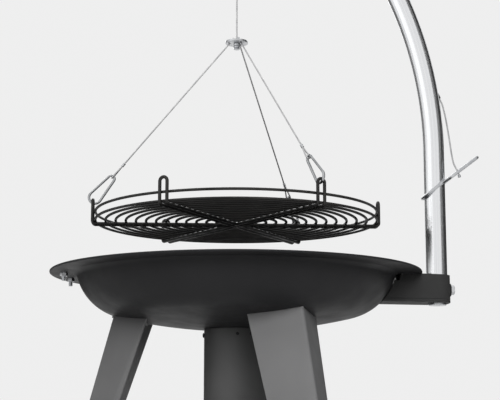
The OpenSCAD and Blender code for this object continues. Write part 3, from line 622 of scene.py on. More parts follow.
def fit_to_bowl(obj):
    """Moves the edge that was cut clear of the bowl's side until it all but touches it."""
    moved = 0
    for vertex in obj.data.vertices:
        radius = math.hypot(vertex.co.x, vertex.co.y)
        spot = Vector((radius, vertex.co.z - RIM_Z))
        from_knuckle = spot - Vector((KNUCKLE_X, KNUCKLE_Z))
        from_bend = spot - Vector((BEND_X, BEND_Z))
        if math.atan2(from_knuckle.y, from_knuckle.x) < KNUCKLE_END:
            gap, inwards = from_knuckle.length - KNUCKLE_R, -from_knuckle.normalized()
        else:
            gap, inwards = BEND_R - from_bend.length, from_bend.normalized()
        if 0 < gap < CUT_GAP + GAP_SLACK:
            new_radius, new_z = spot + inwards * (CUT_GAP - WELD_GAP)
            vertex.co.x *= new_radius / radius
            vertex.co.y *= 1 if abs(vertex.co.y) > FLANK_Y else new_radius / radius
            vertex.co.z = new_z + RIM_Z
            moved += 1
    print(obj.name, moved, "points drawn up to the bowl")

# %% [markdown]
# The foot plates, the ash grid and the bracket are cut from plate. Their solids are right, so each
# is copied, its loose triangles are welded and its hard edges are broken by a fraction of a
# millimetre, which gives the thin bright lines that real plate shows.

# %% Break the edges of the cut plates
for node, width, material, body, slot in (
    ("foot_plates", 0.0005, leg_paint, "stand", "leg_grey"),
    ("ash_grid", 0.0005, grate_black, "stand", "grate_black"),
    ("bracket_strap", 0.0005, bracket_paint, "stand", "bowl_black"),
    ("bracket_floor", 0.0008, bracket_paint, "stand", "bowl_black"),
    ("bracket_roof", 0.0005, bracket_paint, "stand", "bowl_black"),
    ("clamp_boss", 0.0005, bracket_paint, "stand", "bowl_black"),
    ("hanger_plate", 0.0006, zinc, "grate", "zinc"),
):
    piece = eased(node, node + "_eased", width)
    if node in ("bracket_strap", "bracket_floor"):
        fit_to_bowl(piece)
    dress(piece, material, body, slot, node)
dress_solid("ash_collar", bowl_paint)

# %% [markdown]
# ## Ash pot
# The can under the bowl catches the ash. It is rolled sheet with a turned-over lip at the top and a
# pressed bottom, so its section is drawn with both and spun. Three air holes are drilled after.

# %% Spin the ash pot and drill it
POT_R, POT_T, POT_H = 0.060, 0.002, 0.170
POT_TOP = LOW_Z + CROWN_R - math.sqrt(CROWN_R**2 - POT_R**2) - 0.0005
SCREW_Z = POT_TOP - 0.011
AIR_HOLE_R, AIR_HOLE_TURN, DRILL_LONG = 0.003, math.radians(27), 0.04
POT_STEPS, BEAD_R, HOLLOW, DISH_T = 128, 0.0025, 0.0015, 0.002
EDGE_OUT, EDGE_IN, DISH_EDGE = 0.0006, 0.0004, 0.012
low, pot_in = POT_TOP - POT_H, POT_R - POT_T
pot_section = (
    [(0, low + HOLLOW), (POT_R - DISH_EDGE, low + HOLLOW), (POT_R - 0.009, low)]
    + arc((POT_R - BEAD_R, low + BEAD_R), BEAD_R, -QUARTER, 0, 5)
    + [(POT_R, POT_TOP - EDGE_OUT), (POT_R - EDGE_OUT, POT_TOP), (pot_in + EDGE_IN, POT_TOP)]
    + [(pot_in, POT_TOP - EDGE_IN), (pot_in, low + 0.004), (pot_in - 0.002, low + BEAD_R)]
    + [(POT_R - DISH_EDGE, low + HOLLOW + DISH_T), (0, low + HOLLOW + DISH_T)]
)
pot = turned("ash_pot_can", pot_section, steps=POT_STEPS, closed=False)
for turn in LEG_TURNS:
    side = turned_by(turn - AIR_HOLE_TURN, "Z") @ moved_to(POT_R, 0, SCREW_Z)
    drill_through(pot, AIR_HOLE_R, DRILL_LONG, side @ turned_by(QUARTER, "Y"), 32)
smooth(pot)
dress(pot, pot_paint, "stand", "bowl_black", "ash_pot")

# %% [markdown]
# ## Screws, bolts and nuts
# One round-headed bolt, one pan screw and one hexagon are modelled, and copied to every place. The
# head is a low dome, and the shank carries a thread: a zigzag section, which spins to the rings
# that a thread shows from a step away.

# %% Model a bolt, a screw and a nut once
FLAT_SHARE, DOME_STEPS = 0.35, 6
TIP_CUT, TIP_EDGE, THREAD_DEEP, THREAD_FROM, THREAD_STOP = 0.0008, 0.0002, 0.0006, 0.0009, 0.001
CORNER_SHARE, LATHE_SHARE = 0.12, 1.02


def dome(radius, height):
    """Section of a low domed head from its edge to its middle, standing on z = 0."""
    edge = FLAT_SHARE * height
    angles = [QUARTER * i / DOME_STEPS for i in range(1, DOME_STEPS)]
    cap = [(radius * math.cos(a), edge + (height - edge) * math.sin(a)) for a in angles]
    return [(radius, 0), (radius, edge), *cap, (0, height)]


def shank(radius, length, pitch, plain):
    """Section of a threaded shank from its tip up to z = 0."""
    line = [(0, -length), (radius - TIP_CUT, -length), (radius - TIP_EDGE, -length + THREAD_DEEP)]
    turns = int((length - plain - THREAD_STOP) / pitch)
    for i in range(turns):
        z = -length + THREAD_FROM + i * pitch
        line += [(radius - THREAD_DEEP, z), (radius, z + pitch / 2)]
    return line + [(radius, 0)]


def bolt(radius, head_r, head_h, length, pitch=0.00125, plain=0.004):
    section = shank(radius, length, pitch, plain) + dome(head_r, head_h)
    return turned("bolt", section, steps=40, closed=False)


def hexagon(name, across, height, hole=0.0):
    """A hexagon with its corners turned off on both faces, its top at z = 0."""
    bpy.ops.mesh.primitive_cylinder_add(
        vertices=6, radius=across, depth=height, location=(0, 0, -height / 2),
        rotation=(0, 0, math.pi / 6),
    )
    obj = settle(bpy.context.object, name)
    flat = across * math.cos(math.pi / 6)
    wide, drop = LATHE_SHARE * across, CORNER_SHARE * across
    half_section = [(0, 0), (flat, 0), (wide, -drop)]
    mirror = [(x, -height - z) for x, z in half_section[::-1]]
    lathe = turned("lathe", half_section + mirror, 48, False)
    cut(obj, lathe, "INTERSECT")
    discard(lathe)
    if hole:
        drill_through(obj, hole, 3 * height, lift(0), 32)
    return smooth(obj, 25)


def set_out(name, part, places, material, slot, node, body="stand"):
    """Copies part to every place and makes one piece of the copies."""
    copies = [copied(part, f"{name}_{i}", place) for i, place in enumerate(places)]
    discard(part)
    return dress(joined(name, *copies), material, body, slot, node)

# %% [markdown]
# Each place is a matrix with +Z pointing out of the sheet, so a bolt's head is seated by a lift and
# a nut by a lift from the other side. The legs' bolts point along the bowl's own slope. The bolts
# under the rim take the bracket's dark paint in place of zinc, and the pot's screws the bowl's, so
# that nothing bright shows in those places.

# %% Set out the bolts, nuts and screws
def on_bottom(x, y):
    """Place on the bowl's bottom with +Z out of its outer face."""
    tilt, turn = HALF - math.asin(math.hypot(x, y) / CROWN_R), math.atan2(y, x)
    top = lift(RIM_Z + CROWN_Z)
    return top @ turned_by(turn, "Z") @ turned_by(tilt, "Y") @ lift(CROWN_R)


FLIP = turned_by(HALF, "X")
SIDES = (-1, 1)
BOLT_R, BOLT_HEAD_R, BOLT_HEAD_H = 0.004, 0.008, 0.004
NUT_R, NUT_H, NUT_HOLE_R, NUT_ON_TAB = 0.0074, 0.0064, 0.00405, 0.0042
ROOF_T, RIM_BOLT_PITCH, PAST_BEND, RIM_SCREW_TURN = 0.005, 0.0216, 0.003, math.radians(8.5)
BOLT_IN, BOLT_ASIDE, SCREW_IN = 0.52, 0.3, 1.71
bolt_x, bolt_y = LEG_TOP_R - BOLT_IN * LEAF_TOP, BOLT_ASIDE * LEAF_TOP
leg_places = [
    turned_by(turn, "Z") @ on_bottom(bolt_x, side * bolt_y) for turn in LEG_TURNS for side in SIDES
]
rim_screw_x = BEND_X + SCREW_IN * BOLT_HEAD_R
rim_places = [
    turned_by(HALF + side * RIM_SCREW_TURN, "Z") @ moved_to(rim_screw_x, 0, RIM_Z)
    for side in SIDES
]
rim_bolt_x = (BEND_X + PAST_BEND + RIM_R) / 2
roof_places = [moved_to(rim_bolt_x, y, RIM_Z) for y in (-RIM_BOLT_PITCH, 0, RIM_BOLT_PITCH)]
pot_places = [
    turned_by(turn, "Z") @ moved_to(POT_R, 0, SCREW_Z) @ turned_by(QUARTER, "Y")
    for turn in LEG_TURNS
]
above, below = lift(SEAT), lift(-SHEET - SEAT)
under_roof = lift(-SHEET - ROOF_T - SEAT)
for name, length, places, seat, material, slot, node in (
    ("leg_bolt_set", 0.0184, leg_places, below @ FLIP, zinc, "zinc", "leg_bolts"),
    ("leg_nut_set", None, leg_places, lift(NUT_ON_TAB) @ FLIP, zinc, "zinc", "leg_nuts"),
    ("rim_screw_set", 0.0192, rim_places, above, zinc, "zinc", "rim_screws"),
    ("rim_nut_set", None, rim_places, below, zinc, "zinc", "rim_screw_nuts"),
    ("bracket_bolt_set", 0.0186, roof_places, above, bracket_paint, "bowl_black", "bracket_bolts"),
    ("bracket_nut_set", None, roof_places, under_roof, bracket_paint, "bowl_black", "bracket_nuts"),
):
    if length:
        part = bolt(BOLT_R, BOLT_HEAD_R, BOLT_HEAD_H, length)
    else:
        part = hexagon("nut", NUT_R, NUT_H, NUT_HOLE_R)
    set_out(name, part, [p @ seat for p in places], material, slot, node)
POT_SCREW = dict(radius=0.0025, head_r=0.0045, head_h=0.0028, length=0.008)
pot_screw = bolt(**POT_SCREW, pitch=0.0008, plain=0.002)
screw_places = [p @ above for p in pot_places]
set_out("pot_screw_set", pot_screw, screw_places, bowl_paint, "bowl_black", "ash_pot_screws")

# %% [markdown]
# ## Clamp bolt
# A plain hexagon bolt through the bracket's nose presses on the tube and stops it from turning.

# %% Model the clamp bolt
CLAMP_DOWN = 0.58
CLAMP_Z = RIM_Z - SHEET - CLAMP_DOWN * BRACKET_H
STRAP_T, POLE_PLAY, BOSS_LONG = 0.003, 0.0005, 0.0025
CLAMP_HEAD_R, CLAMP_HEAD_H, CLAMP_R, CLAMP_PITCH, INTO_HEAD = 0.00925, 0.0064, 0.005, 0.0015, 0.001
nose_x = POLE_X + POLE_R + POLE_PLAY + STRAP_T
head_x = nose_x + BOSS_LONG + 3 * SEAT
tip_x = POLE_X + POLE_R + 2 * SEAT
head_part = hexagon("head", CLAMP_HEAD_R, CLAMP_HEAD_H)
head_place = moved_to(head_x + CLAMP_HEAD_H, 0, CLAMP_Z) @ turned_by(QUARTER, "Y")
head = copied(head_part, "clamp_head", head_place)
stem_section = shank(CLAMP_R, head_x - tip_x + INTO_HEAD, CLAMP_PITCH, 0.0)
stem_part = turned("stem", stem_section, steps=40, closed=False)
edit(stem_part, lambda: bpy.ops.mesh.fill_holes(sides=0))
stem_place = moved_to(head_x + INTO_HEAD, 0, CLAMP_Z) @ turned_by(QUARTER, "Y")
stem = copied(stem_part, "clamp_stem", stem_place)
discard(head_part, stem_part)
dress(joined("clamp_bolt_hexagon", head, stem), zinc, "clamp_screw", "zinc", "clamp_bolt")

# %% [markdown]
# ## The gallows
# The gallows is a stock tube, drawn straight and then bent. A circle is extruded up to the start of
# the bend and spun round the bend's centre, and Solidify gives it its wall. Its UV map is worked
# out from the same path, so that the fine drawn lines follow the bend.

# %% Draw the tube and bend it
BEND_C = Vector((POLE_X - POLE_BEND, 0, BEND_START))
FOOT_Z = FLOOR_TOP + 3 * SEAT
ROUND_STEPS, STRAIGHT_STEPS, BEND_STEPS, LEVEL = 96, 6, 90, 1e-6
bpy.ops.mesh.primitive_circle_add(vertices=ROUND_STEPS, radius=POLE_R, location=(POLE_X, 0, FOOT_Z))
tube = settle(bpy.context.object, "gallows_tube")


def pick_top():
    """Selects the ring of points at the tube's upper end, and stays in edit mode."""
    bpy.ops.mesh.select_all(action="DESELECT")
    bpy.ops.object.mode_set(mode="OBJECT")
    top = max(v.co.z for v in tube.data.vertices)
    for vertex in tube.data.vertices:
        vertex.select = vertex.co.z > top - LEVEL
    bpy.ops.object.mode_set(mode="EDIT")


def lift_top():
    pick_top()
    extrude((0, 0, (BEND_START - FOOT_Z) / STRAIGHT_STEPS))


def bend_top():
    pick_top()
    bpy.ops.mesh.spin(steps=BEND_STEPS, angle=TIP_TURN, center=BEND_C, axis=(0, 1, 0))


edit(tube, *[lift_top] * STRAIGHT_STEPS, bend_top)
weld(tube)
reach_z, reach_x = max(v.co.z for v in tube.data.vertices), min(v.co.x for v in tube.data.vertices)
print("tube reaches", round(reach_z, 3), "and", round(reach_x, 3))
modify(tube, "SOLIDIFY", thickness=POLE_WALL, offset=-1)

# %% [markdown]
# The cable comes out of the back of the bend on a slant, and hangs down through a slot in the tip.
# Both openings are cut with simple tools, and so is the hole of the roller's pin.

# %% Cut the tube's openings
IN_R = POLE_R - POLE_WALL
LIE_R = POLE_BEND - IN_R + CABLE_R + SEAT
GROOVE_R = 0.009
EXIT_UP, BEND_UP = 0.342, 0.24
EXIT_TURN = math.asin((EXIT_UP - BEND_UP) / POLE_BEND)
OUTER_BEND = POLE_BEND + POLE_R
LIE_TURN = EXIT_TURN + math.acos(LIE_R / OUTER_BEND)
RUN = math.sqrt(OUTER_BEND**2 - LIE_R**2)
BORE_R, BORE_LONG = CABLE_R + 0.0018, 0.06
SLOT_R, SLOT_LONG, SLOT_BELOW = 0.003, 0.036, 0.022
PIN_HOLE_R, PIN_HOLE_LONG = 0.0032, 0.08
ROLLER_TURN = math.acos(1 - (POLE_X - GROOVE_R) / POLE_BEND)
ROLLER = BEND_C + POLE_BEND * Vector((math.cos(ROLLER_TURN), 0, math.sin(ROLLER_TURN)))


def on_bend(angle, radius):
    """Place on the bend, with +Z along the tube."""
    return moved_to(*BEND_C) @ turned_by(-angle, "Y") @ moved_to(radius, 0, 0)


ON_EXIT = on_bend(LIE_TURN, LIE_R) @ turned_by(HALF, "Y")
ON_ROLLER = moved_to(*ROLLER) @ turned_by(QUARTER, "X")
drill_through(tube, BORE_R, BORE_LONG, ON_EXIT @ lift(RUN))
drill_through(tube, SLOT_R, SLOT_LONG, lift(ROLLER.z - SLOT_BELOW))
drill_through(tube, PIN_HOLE_R, PIN_HOLE_LONG, ON_ROLLER)
print("bush's hole", round(math.degrees(EXIT_TURN), 1), "degrees up the bend")

# %% [markdown]
# The tube was drawn and polished, which leaves fine lines along it. They need to know the way round
# the tube and the way along it, straight part and bend, so both are written to a UV map.

# %% Lay the tube's UV map and finish it
def along_tube(obj, name="along"):
    """A UV map with the way round the tube in U and the way along it in V, in metres."""
    layer = obj.data.uv_layers.new(name=name)
    for face in obj.data.polygons:
        places = []
        for loop in face.loop_indices:
            co = obj.data.vertices[obj.data.loops[loop].vertex_index].co
            if co.z < BEND_START and co.x > POLE_X - 2 * POLE_R:
                across, length = co.x - POLE_X, co.z
            else:
                arm = co - BEND_C
                turn = math.atan2(arm.z, arm.x)
                across = math.hypot(arm.x, arm.z) - POLE_BEND
                length = BEND_START + POLE_BEND * turn
            places.append([loop, math.atan2(co.y, across) / FULL, length])
        if max(p[1] for p in places) - min(p[1] for p in places) > 0.5:
            for p in places:
                p[1] += 1 if p[1] < 0 else 0
        for loop, u, v in places:
            layer.data[loop].uv = (u, v)
    obj.data.uv_layers.active = layer


CUT_EDGE_TUBE = 0.0003
round_edges(tube, CUT_EDGE_TUBE, segments=1, angle=50)
along_tube(tube)
dress(tube, stainless, "gallows", "stainless", "gallows_pole")

# %% [markdown]
# The small parts on the tube are turned: a plug that stands in the bracket, a plastic cap in the
# tip, the roller with its groove and riveted pin, and the bush that the cable rubs on.

# %% Turn the plug, cap, bush, roller and pin
def seated(name, section, place, material, body, slot, node, steps=64, closed=False):
    part = turned(name + "_part", section, steps, closed)
    return set_out(name, part, [place], material, slot, node, body=body)


PLUG_LOW, SPIGOT_R, SPIGOT_LOW = FLOOR_TOP + SEAT, 0.017, FLOOR_TOP - 0.010
plug_r, plug_top = IN_R - SEAT / 2, PLUG_LOW + 0.024
plug = [
    (0, SPIGOT_LOW + 0.0012), (0.003, SPIGOT_LOW + 0.0012), (0.0042, SPIGOT_LOW),
    (SPIGOT_R - 0.001, SPIGOT_LOW), (SPIGOT_R, SPIGOT_LOW + 0.001), (SPIGOT_R, PLUG_LOW),
    (plug_r, PLUG_LOW), (plug_r, plug_top - 0.001), (plug_r - 0.001, plug_top), (0, plug_top),
]
seated("gallows_plug", plug, moved_to(POLE_X, 0, 0), zinc, "gallows", "zinc", "pole_foot")

CAP_DEEP, CAP_T = 0.010, math.radians(0.3) * (POLE_BEND - POLE_R)
cap = [
    (0, -CAP_DEEP), (IN_R - 0.0004, -CAP_DEEP), (plug_r, 0.001 - CAP_DEEP), (plug_r, 0),
    (POLE_R, 0), (POLE_R, CAP_T * 0.45), (POLE_R - 0.0006, CAP_T * 0.75),
    (POLE_R - 0.002, CAP_T * 0.95), (POLE_R - 0.004, CAP_T), (0, CAP_T),
]
cap_place = on_bend(TIP_TURN, POLE_BEND)
seated("tip_cap", cap, cap_place, plastic, "gallows", "black_plastic", "pole_cap")

BUSH_IN, BUSH_R, BUSH_LONG, BUSH_DEEP = CABLE_R + 0.0002, CABLE_R + 0.0017, 0.0179, 0.016
bush = [
    (BUSH_IN, 0), (BUSH_R, 0), (BUSH_R, BUSH_LONG - 0.001), (BUSH_R - 0.0003, BUSH_LONG - 0.0004),
    (BUSH_R - 0.0008, BUSH_LONG), (BUSH_IN + 0.0002, BUSH_LONG), (BUSH_IN, BUSH_LONG - 0.0004),
]
seated(
    "cable_bush", bush, ON_EXIT @ lift(RUN - BUSH_DEEP),
    plastic, "gallows", "black_plastic", "exit_grommet", closed=True,
)

AXLE_R, FLANGE_R, ROLLER_HALF = 0.00305, 0.011, 0.005
flange = [
    (AXLE_R, -ROLLER_HALF), (FLANGE_R - 0.0005, -ROLLER_HALF), (FLANGE_R, 0.0005 - ROLLER_HALF),
    (FLANGE_R, -0.0026), (FLANGE_R - 0.0006, -0.0017),
]
groove = arc((GROOVE_R, 0), CABLE_R + 0.0002, -QUARTER, -HALF - QUARTER, 10)
seated(
    "tip_pulley", flange + groove + [(r, -z) for r, z in flange[::-1]], ON_ROLLER,
    plastic, "roller", "black_plastic", "tip_roller", closed=True,
)

RIVET_R, RIVET_LOW, PIN_R = 0.0048, 0.42, 0.003
rivet = arc((0, 0), RIVET_R, 0, QUARTER, 6)
rivet = [(r, POLE_R + SEAT + z * RIVET_LOW) for r, z in rivet]
pin = [(r, -z) for r, z in rivet[::-1]] + [(PIN_R, -POLE_R - SEAT), (PIN_R, POLE_R + SEAT)] + rivet
seated("tip_pin", pin, ON_ROLLER, zinc, "gallows", "zinc", "roller_pin")

# %% [markdown]
# ## The grate
# Fourteen rings lie on three long loops of thicker rod, and a rail rings the whole. A ring is a
# torus, with more segments the wider it is, so that all look equally round.

# %% Rings and rail
RINGS, RAIL_UP, ROD_SIDES, RAIL_SIDES, RAIL_STEPS = 14, 0.016, 12, 14, 160
RING_STEPS, MORE_STEPS = 40, 8


def ring(name, radius, z, steps, sides):
    bpy.ops.mesh.primitive_torus_add(
        major_segments=steps, minor_segments=sides,
        major_radius=radius, minor_radius=ROD_R, location=(0, 0, z),
    )
    return settle(bpy.context.object, name)


rings = [
    ring(f"ring_{i}", i * RING_PITCH, RING_Z, RING_STEPS + MORE_STEPS * i, ROD_SIDES)
    for i in range(1, RINGS + 1)
]
grate_rings = smooth(joined("grate_ring_set", *rings), 60)
dress(grate_rings, grate_black, "grate", "grate_black", "grate_rings")
GRATE_R = RINGS * RING_PITCH
rail = smooth(ring("grate_rail_ring", GRATE_R, RING_Z + RAIL_UP, RAIL_STEPS, RAIL_SIDES), 60)
dress(rail, grate_black, "grate", "grate_black", "grate_rail")

# %% [markdown]
# Each long loop runs right across below the rings as a pair of rods and turns up at both ends into
# an eye. Its line is drawn once round with rounded corners: one end is worked out, the other is its
# mirror. It is given its thickness and copied twice, a sixth of a turn apart.

# %% Bend one long loop and copy it
LOOP_R = GRATE_R + ROD_R + FRAME_ROD_R + SEAT
EYE_UP = 0.044
LOOP_TOP = RING_Z + EYE_UP - FRAME_ROD_R
FRAME_Z = RING_Z - ROD_R - FRAME_ROD_R - SEAT
HALF_PAIR = 0.00725
CORNER_R = ROD_R + FRAME_ROD_R + SEAT
LOOP_ANGLES = [math.radians(a) for a in (0, 60, 120)]


def eye_line():
    """Line from the middle of one rod, up and over the eye, back to the middle of the other."""
    low, top = Vector((LOOP_R, HALF_PAIR, FRAME_Z)), Vector((LOOP_R, HALF_PAIR, LOOP_TOP))
    below_top = top - Vector((0, 0, HALF_PAIR))
    first = bent([(0, low.y, low.z), low, below_top], CORNER_R)
    over = bent([below_top, top, (top.x, 0, top.z)], HALF_PAIR - SAME_SPOT)
    half = first + over[1:]
    return half + [Vector((p.x, -p.y, p.z)) for p in half[-2::-1]]


half_line = eye_line()
across = [Vector((-p.x, -p.y, p.z)) for p in half_line[1:-1]]
loop_line = half_line[:-1] + [Vector((0, -HALF_PAIR, FRAME_Z))] + across
loop_rod = rod("long_loop", loop_line, FRAME_ROD_R, closed=True)
loop_places = [turned_by(GRATE_TURN + a, "Z") for a in LOOP_ANGLES]
set_out(
    "grate_long_loops", loop_rod, loop_places, grate_black, "grate_black", "grate_frames",
    body="grate",
)
print("loop eyes at", round(LOOP_R, 4), "up to", round(LOOP_TOP, 4))

# %% [markdown]
# ## Snap hooks
# A snap hook is a pear of bright rod, open on one side, with a gate that hinges on a flat lug and
# is pushed shut by a spring inside it. The pear's line is two arcs and a straight. The lug is a
# flat plate, extruded from its outline. Each hook hangs in line with its wire, so one place matrix
# serves the hook, its gate, the wire's eye and its sleeve.

# %% Bend the hook and set out three
HANGER_Z, HANGER_HOLE_R, HOOK_LONG = RIM_Z + 0.453, 0.014, 0.070
HOOK_R, BIG_R = 0.0025, 0.0115
SMALL_SHARE = 0.53
SMALL_R = SMALL_SHARE * BIG_R
BIG_Z = BIG_R - HOOK_R - FRAME_ROD_R - 2 * SEAT
SMALL_Z = BIG_Z - BIG_R + HOOK_LONG - 2 * HOOK_R - SMALL_R
TAPER = math.asin((BIG_R - SMALL_R) / (SMALL_Z - BIG_Z))
hang_x, hang_z = LOOP_R - HANGER_HOLE_R, HANGER_Z - LOOP_TOP
HANG_TILT, HANG_LEN = math.atan2(hang_x, hang_z), math.hypot(hang_x, hang_z)
HOOK_TURNS = {name: turn + GRATE_TURN for name, turn in zip(("left", "front", "rear"), LEG_TURNS)}
GATE_R = HOOK_R - 0.0003
GATE_TOP = (SMALL_R * math.cos(TAPER), SMALL_Z + SMALL_R * math.sin(TAPER))
GATE_LOW = (BIG_R * math.cos(TAPER), BIG_Z + BIG_R * math.sin(TAPER))
LUG_T, LUG_R, LUG_LAP, HINGE_R = 0.002, GATE_R - 0.0002, 0.0016, 0.0009


def on_hanger(turn):
    """Place on the top of a grate's eye, with +Z along the wire."""
    return turned_by(turn, "Z") @ moved_to(LOOP_R, 0, LOOP_TOP) @ turned_by(-HANG_TILT, "Y")


LUG_TURN = TAPER + math.asin(min(0.9, (GATE_R + 0.0014) / SMALL_R))
LUG_END_TURN = LUG_TURN + 0.21
big_bow = arc((0, BIG_Z), BIG_R, TAPER, -HALF - TAPER, 28)
small_bow = arc((0, SMALL_Z), SMALL_R, HALF - TAPER, LUG_TURN, 14)
hook_rod = rod("hook_rod", [(x, 0, z) for x, z in big_bow + small_bow], HOOK_R)
end_x, end_z = SMALL_R * math.cos(LUG_END_TURN), SMALL_Z + SMALL_R * math.sin(LUG_END_TURN)
lug_line = arc(GATE_TOP, LUG_R, math.radians(20), math.radians(-200), 12)
lug_line += [(end_x - LUG_LAP, end_z - 0.001), (end_x + LUG_LAP, end_z)]
lug = drawn("lug", [(x, -LUG_T / 2, z) for x, z in lug_line], closed=True)
edit(lug, bpy.ops.mesh.edge_face_add, lambda: extrude((0, LUG_T, 0)), face_outwards)
bpy.ops.mesh.primitive_cylinder_add(
    vertices=24, radius=HINGE_R, depth=2 * GATE_R,
    location=(GATE_TOP[0], 0, GATE_TOP[1]), rotation=(QUARTER, 0, 0),
)
hinge_pin = settle(bpy.context.object, "hinge_pin")
hook = smooth(joined("hook", hook_rod, lug, hinge_pin), 45)
for name, turn in HOOK_TURNS.items():
    pear = copied(hook, f"hook_{name}_pear", on_hanger(turn))
    dress(pear, hook_steel, "grate", "zinc", f"hook_{name}")
discard(hook)
print("hook:", round(HOOK_LONG, 3), "long, hung at", round(math.degrees(HANG_TILT), 1), "degrees")

# %% [markdown]
# The gate is a shorter rod. Its upper end is slotted to straddle the lug, and it stops a hair short
# of the hook's nose.

# %% Model the gate and hang three
NOSE_GAP, HINGE_PLAY = 0.0004, 0.00005
GATE_SLOT = (0.01, 0.0021, 0.0075)
bottom = NOSE_GAP - math.dist(GATE_TOP, GATE_LOW)
gate_section = [
    (0, bottom), (GATE_R - 0.0003, bottom), (GATE_R, bottom + 0.0003),
    (GATE_R, GATE_R - 0.0005), (GATE_R - 0.0005, GATE_R), (0, GATE_R),
]
gate = turned("gate", gate_section, 32, False)
slot_z = GATE_SLOT[2] / 2 - GATE_R - NOSE_GAP
bpy.ops.mesh.primitive_cube_add(size=1, location=(0, 0, slot_z), scale=GATE_SLOT)
slot_tool = settle(bpy.context.object, "slot_tool")
cut(gate, slot_tool)
discard(slot_tool)
drill_through(gate, HINGE_R + HINGE_PLAY, GATE_SLOT[0], turned_by(QUARTER, "X"))
smooth(gate, 30)
gate_place = moved_to(GATE_TOP[0], 0, GATE_TOP[1]) @ turned_by(-TAPER, "Y")
for name, turn in HOOK_TURNS.items():
    gate_rod = copied(gate, f"gate_{name}_rod", on_hanger(turn) @ gate_place)
    dress(gate_rod, hook_steel, f"gate_{name}_body", "zinc", f"gate_{name}")
discard(gate)
print("gate:", round(-bottom, 4), "m from its hinge to its end")

# %% [markdown]
# ## Cables
# The cable is six strands laid round a core. Its section has six lobes and turns as it goes along.
# A curve does that best: its bevel takes the lobed section, and each point has a little more tilt
# than the one before. It is turned into a mesh once it is right.

# %% Lay a stranded cable along a line
LAY, STEP = 0.022, 0.0016
STRANDS, LOBE_POINTS, LOBE_STEP = 6, 5, math.radians(34)


def resampled(points, step):
    """Points at even steps along a line."""
    points = [Vector(p) for p in points]
    lengths = [0.0]
    for a, b in zip(points, points[1:]):
        lengths.append(lengths[-1] + (b - a).length)
    count = max(2, round(lengths[-1] / step))
    even, k = [], 0
    for i in range(count + 1):
        want = lengths[-1] * i / count
        while k < len(lengths) - 2 and lengths[k + 1] < want:
            k += 1
        share = (want - lengths[k]) / (lengths[k + 1] - lengths[k])
        even.append(points[k].lerp(points[k + 1], share))
    return even, lengths[-1] / count


def lobes():
    """The section of the cable: six strands on a circle."""
    strand = CABLE_R / 3
    line = []
    for k in range(STRANDS):
        a = FULL / STRANDS * k
        x, y = 2 * strand * math.cos(a), 2 * strand * math.sin(a)
        for j in range(LOBE_POINTS):
            b = a + LOBE_STEP * (j - LOBE_POINTS // 2)
            line.append((x + strand * math.cos(b), y + strand * math.sin(b)))
    return line


def stranded(name, points):
    """A mesh of twisted strands along a line."""
    even, step = resampled(points, STEP)
    section_curve = bpy.data.curves.new("section", "CURVE")
    outline = section_curve.splines.new("POLY")
    outline.points.add(STRANDS * LOBE_POINTS - 1)
    for point, (x, y) in zip(outline.points, lobes()):
        point.co = (x, y, 0, 1)
    outline.use_cyclic_u = True
    section_obj = new_object("section", section_curve)
    curve = bpy.data.curves.new(name, "CURVE")
    curve.dimensions, curve.twist_mode, curve.use_fill_caps = "3D", "MINIMUM", True
    curve.bevel_mode, curve.bevel_object = "OBJECT", section_obj
    spline = curve.splines.new("POLY")
    spline.points.add(len(even) - 1)
    for i, co in enumerate(even):
        spline.points[i].co = (*co, 1)
        spline.points[i].tilt = FULL * i * step / LAY
    obj = pick(new_object(name, curve))
    bpy.ops.object.convert(target="MESH")
    discard(section_obj)
    obj.name = obj.data.name = name
    return smooth(weld(obj, 1e-7), 80)

# %% [markdown]
# The drop hangs from the roller to the hanger plate. It gets longer and shorter as the grate moves.

# %% The drop and its stop
drop_low, drop_top = HANGER_Z + 0.006 + SEAT, ROLLER.z
drop = stranded("cable_drop_strands", [(0, 0, drop_top), (0, 0, drop_low)])
drop.data.materials.append(strand_steel)
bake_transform(drop)
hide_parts("cable_drop")
dress_solid("cable_inside", strand_steel)
print("drop:", round(drop_top - drop_low, 3), "m long at rest")

# %% [markdown]
# Every end of the cable is held in a sleeve that is crimped on. A sleeve is turned: a barrel with
# shallow rings pressed into it. The one on the drop also has a spigot that goes through the plate.

# %% Turn the sleeves
EDGE_CUT, CRIMP_DEEP, CRIMP_HALF, CRIMP_FLAT = 0.0005, 0.00035, 0.0011, 0.0006


def sleeve(radius, length, hole, crimps, start=0.0):
    """Section of a crimped sleeve: a barrel with shallow rings pressed into it."""
    line = [(hole, start), (radius - EDGE_CUT, start), (radius, start + EDGE_CUT)]
    low_r = radius - CRIMP_DEEP
    for i in range(crimps):
        z = start + length * (i + 1) / (crimps + 1)
        line += [(radius, z - CRIMP_HALF), (low_r, z - CRIMP_FLAT)]
        line += [(low_r, z + CRIMP_FLAT), (radius, z + CRIMP_HALF)]
    top = start + length
    return line + [(radius, top - EDGE_CUT), (radius - EDGE_CUT, top), (hole, top)]


STOP_R, STOP_LOW, SPIGOT = 0.006, 0.012, 0.003
stop = sleeve(STOP_R, STOP_LOW - 2 * SEAT, SPIGOT, 2, -STOP_LOW)[1:-1]
spigot = [(SPIGOT, -2 * SEAT), (SPIGOT, 0.0055), (SPIGOT - 0.0005, 0.006), (0, 0.006)]
seated(
    "drop_stop_sleeve", [(0, -STOP_LOW)] + stop + spigot, lift(HANGER_Z),
    zinc, "carrier", "zinc", "drop_stop", steps=48,
)

# %% [markdown]
# Each wire comes down from the plate, passes through its sleeve, goes round the hook in an eye and
# back up into the sleeve. All of that is one line.

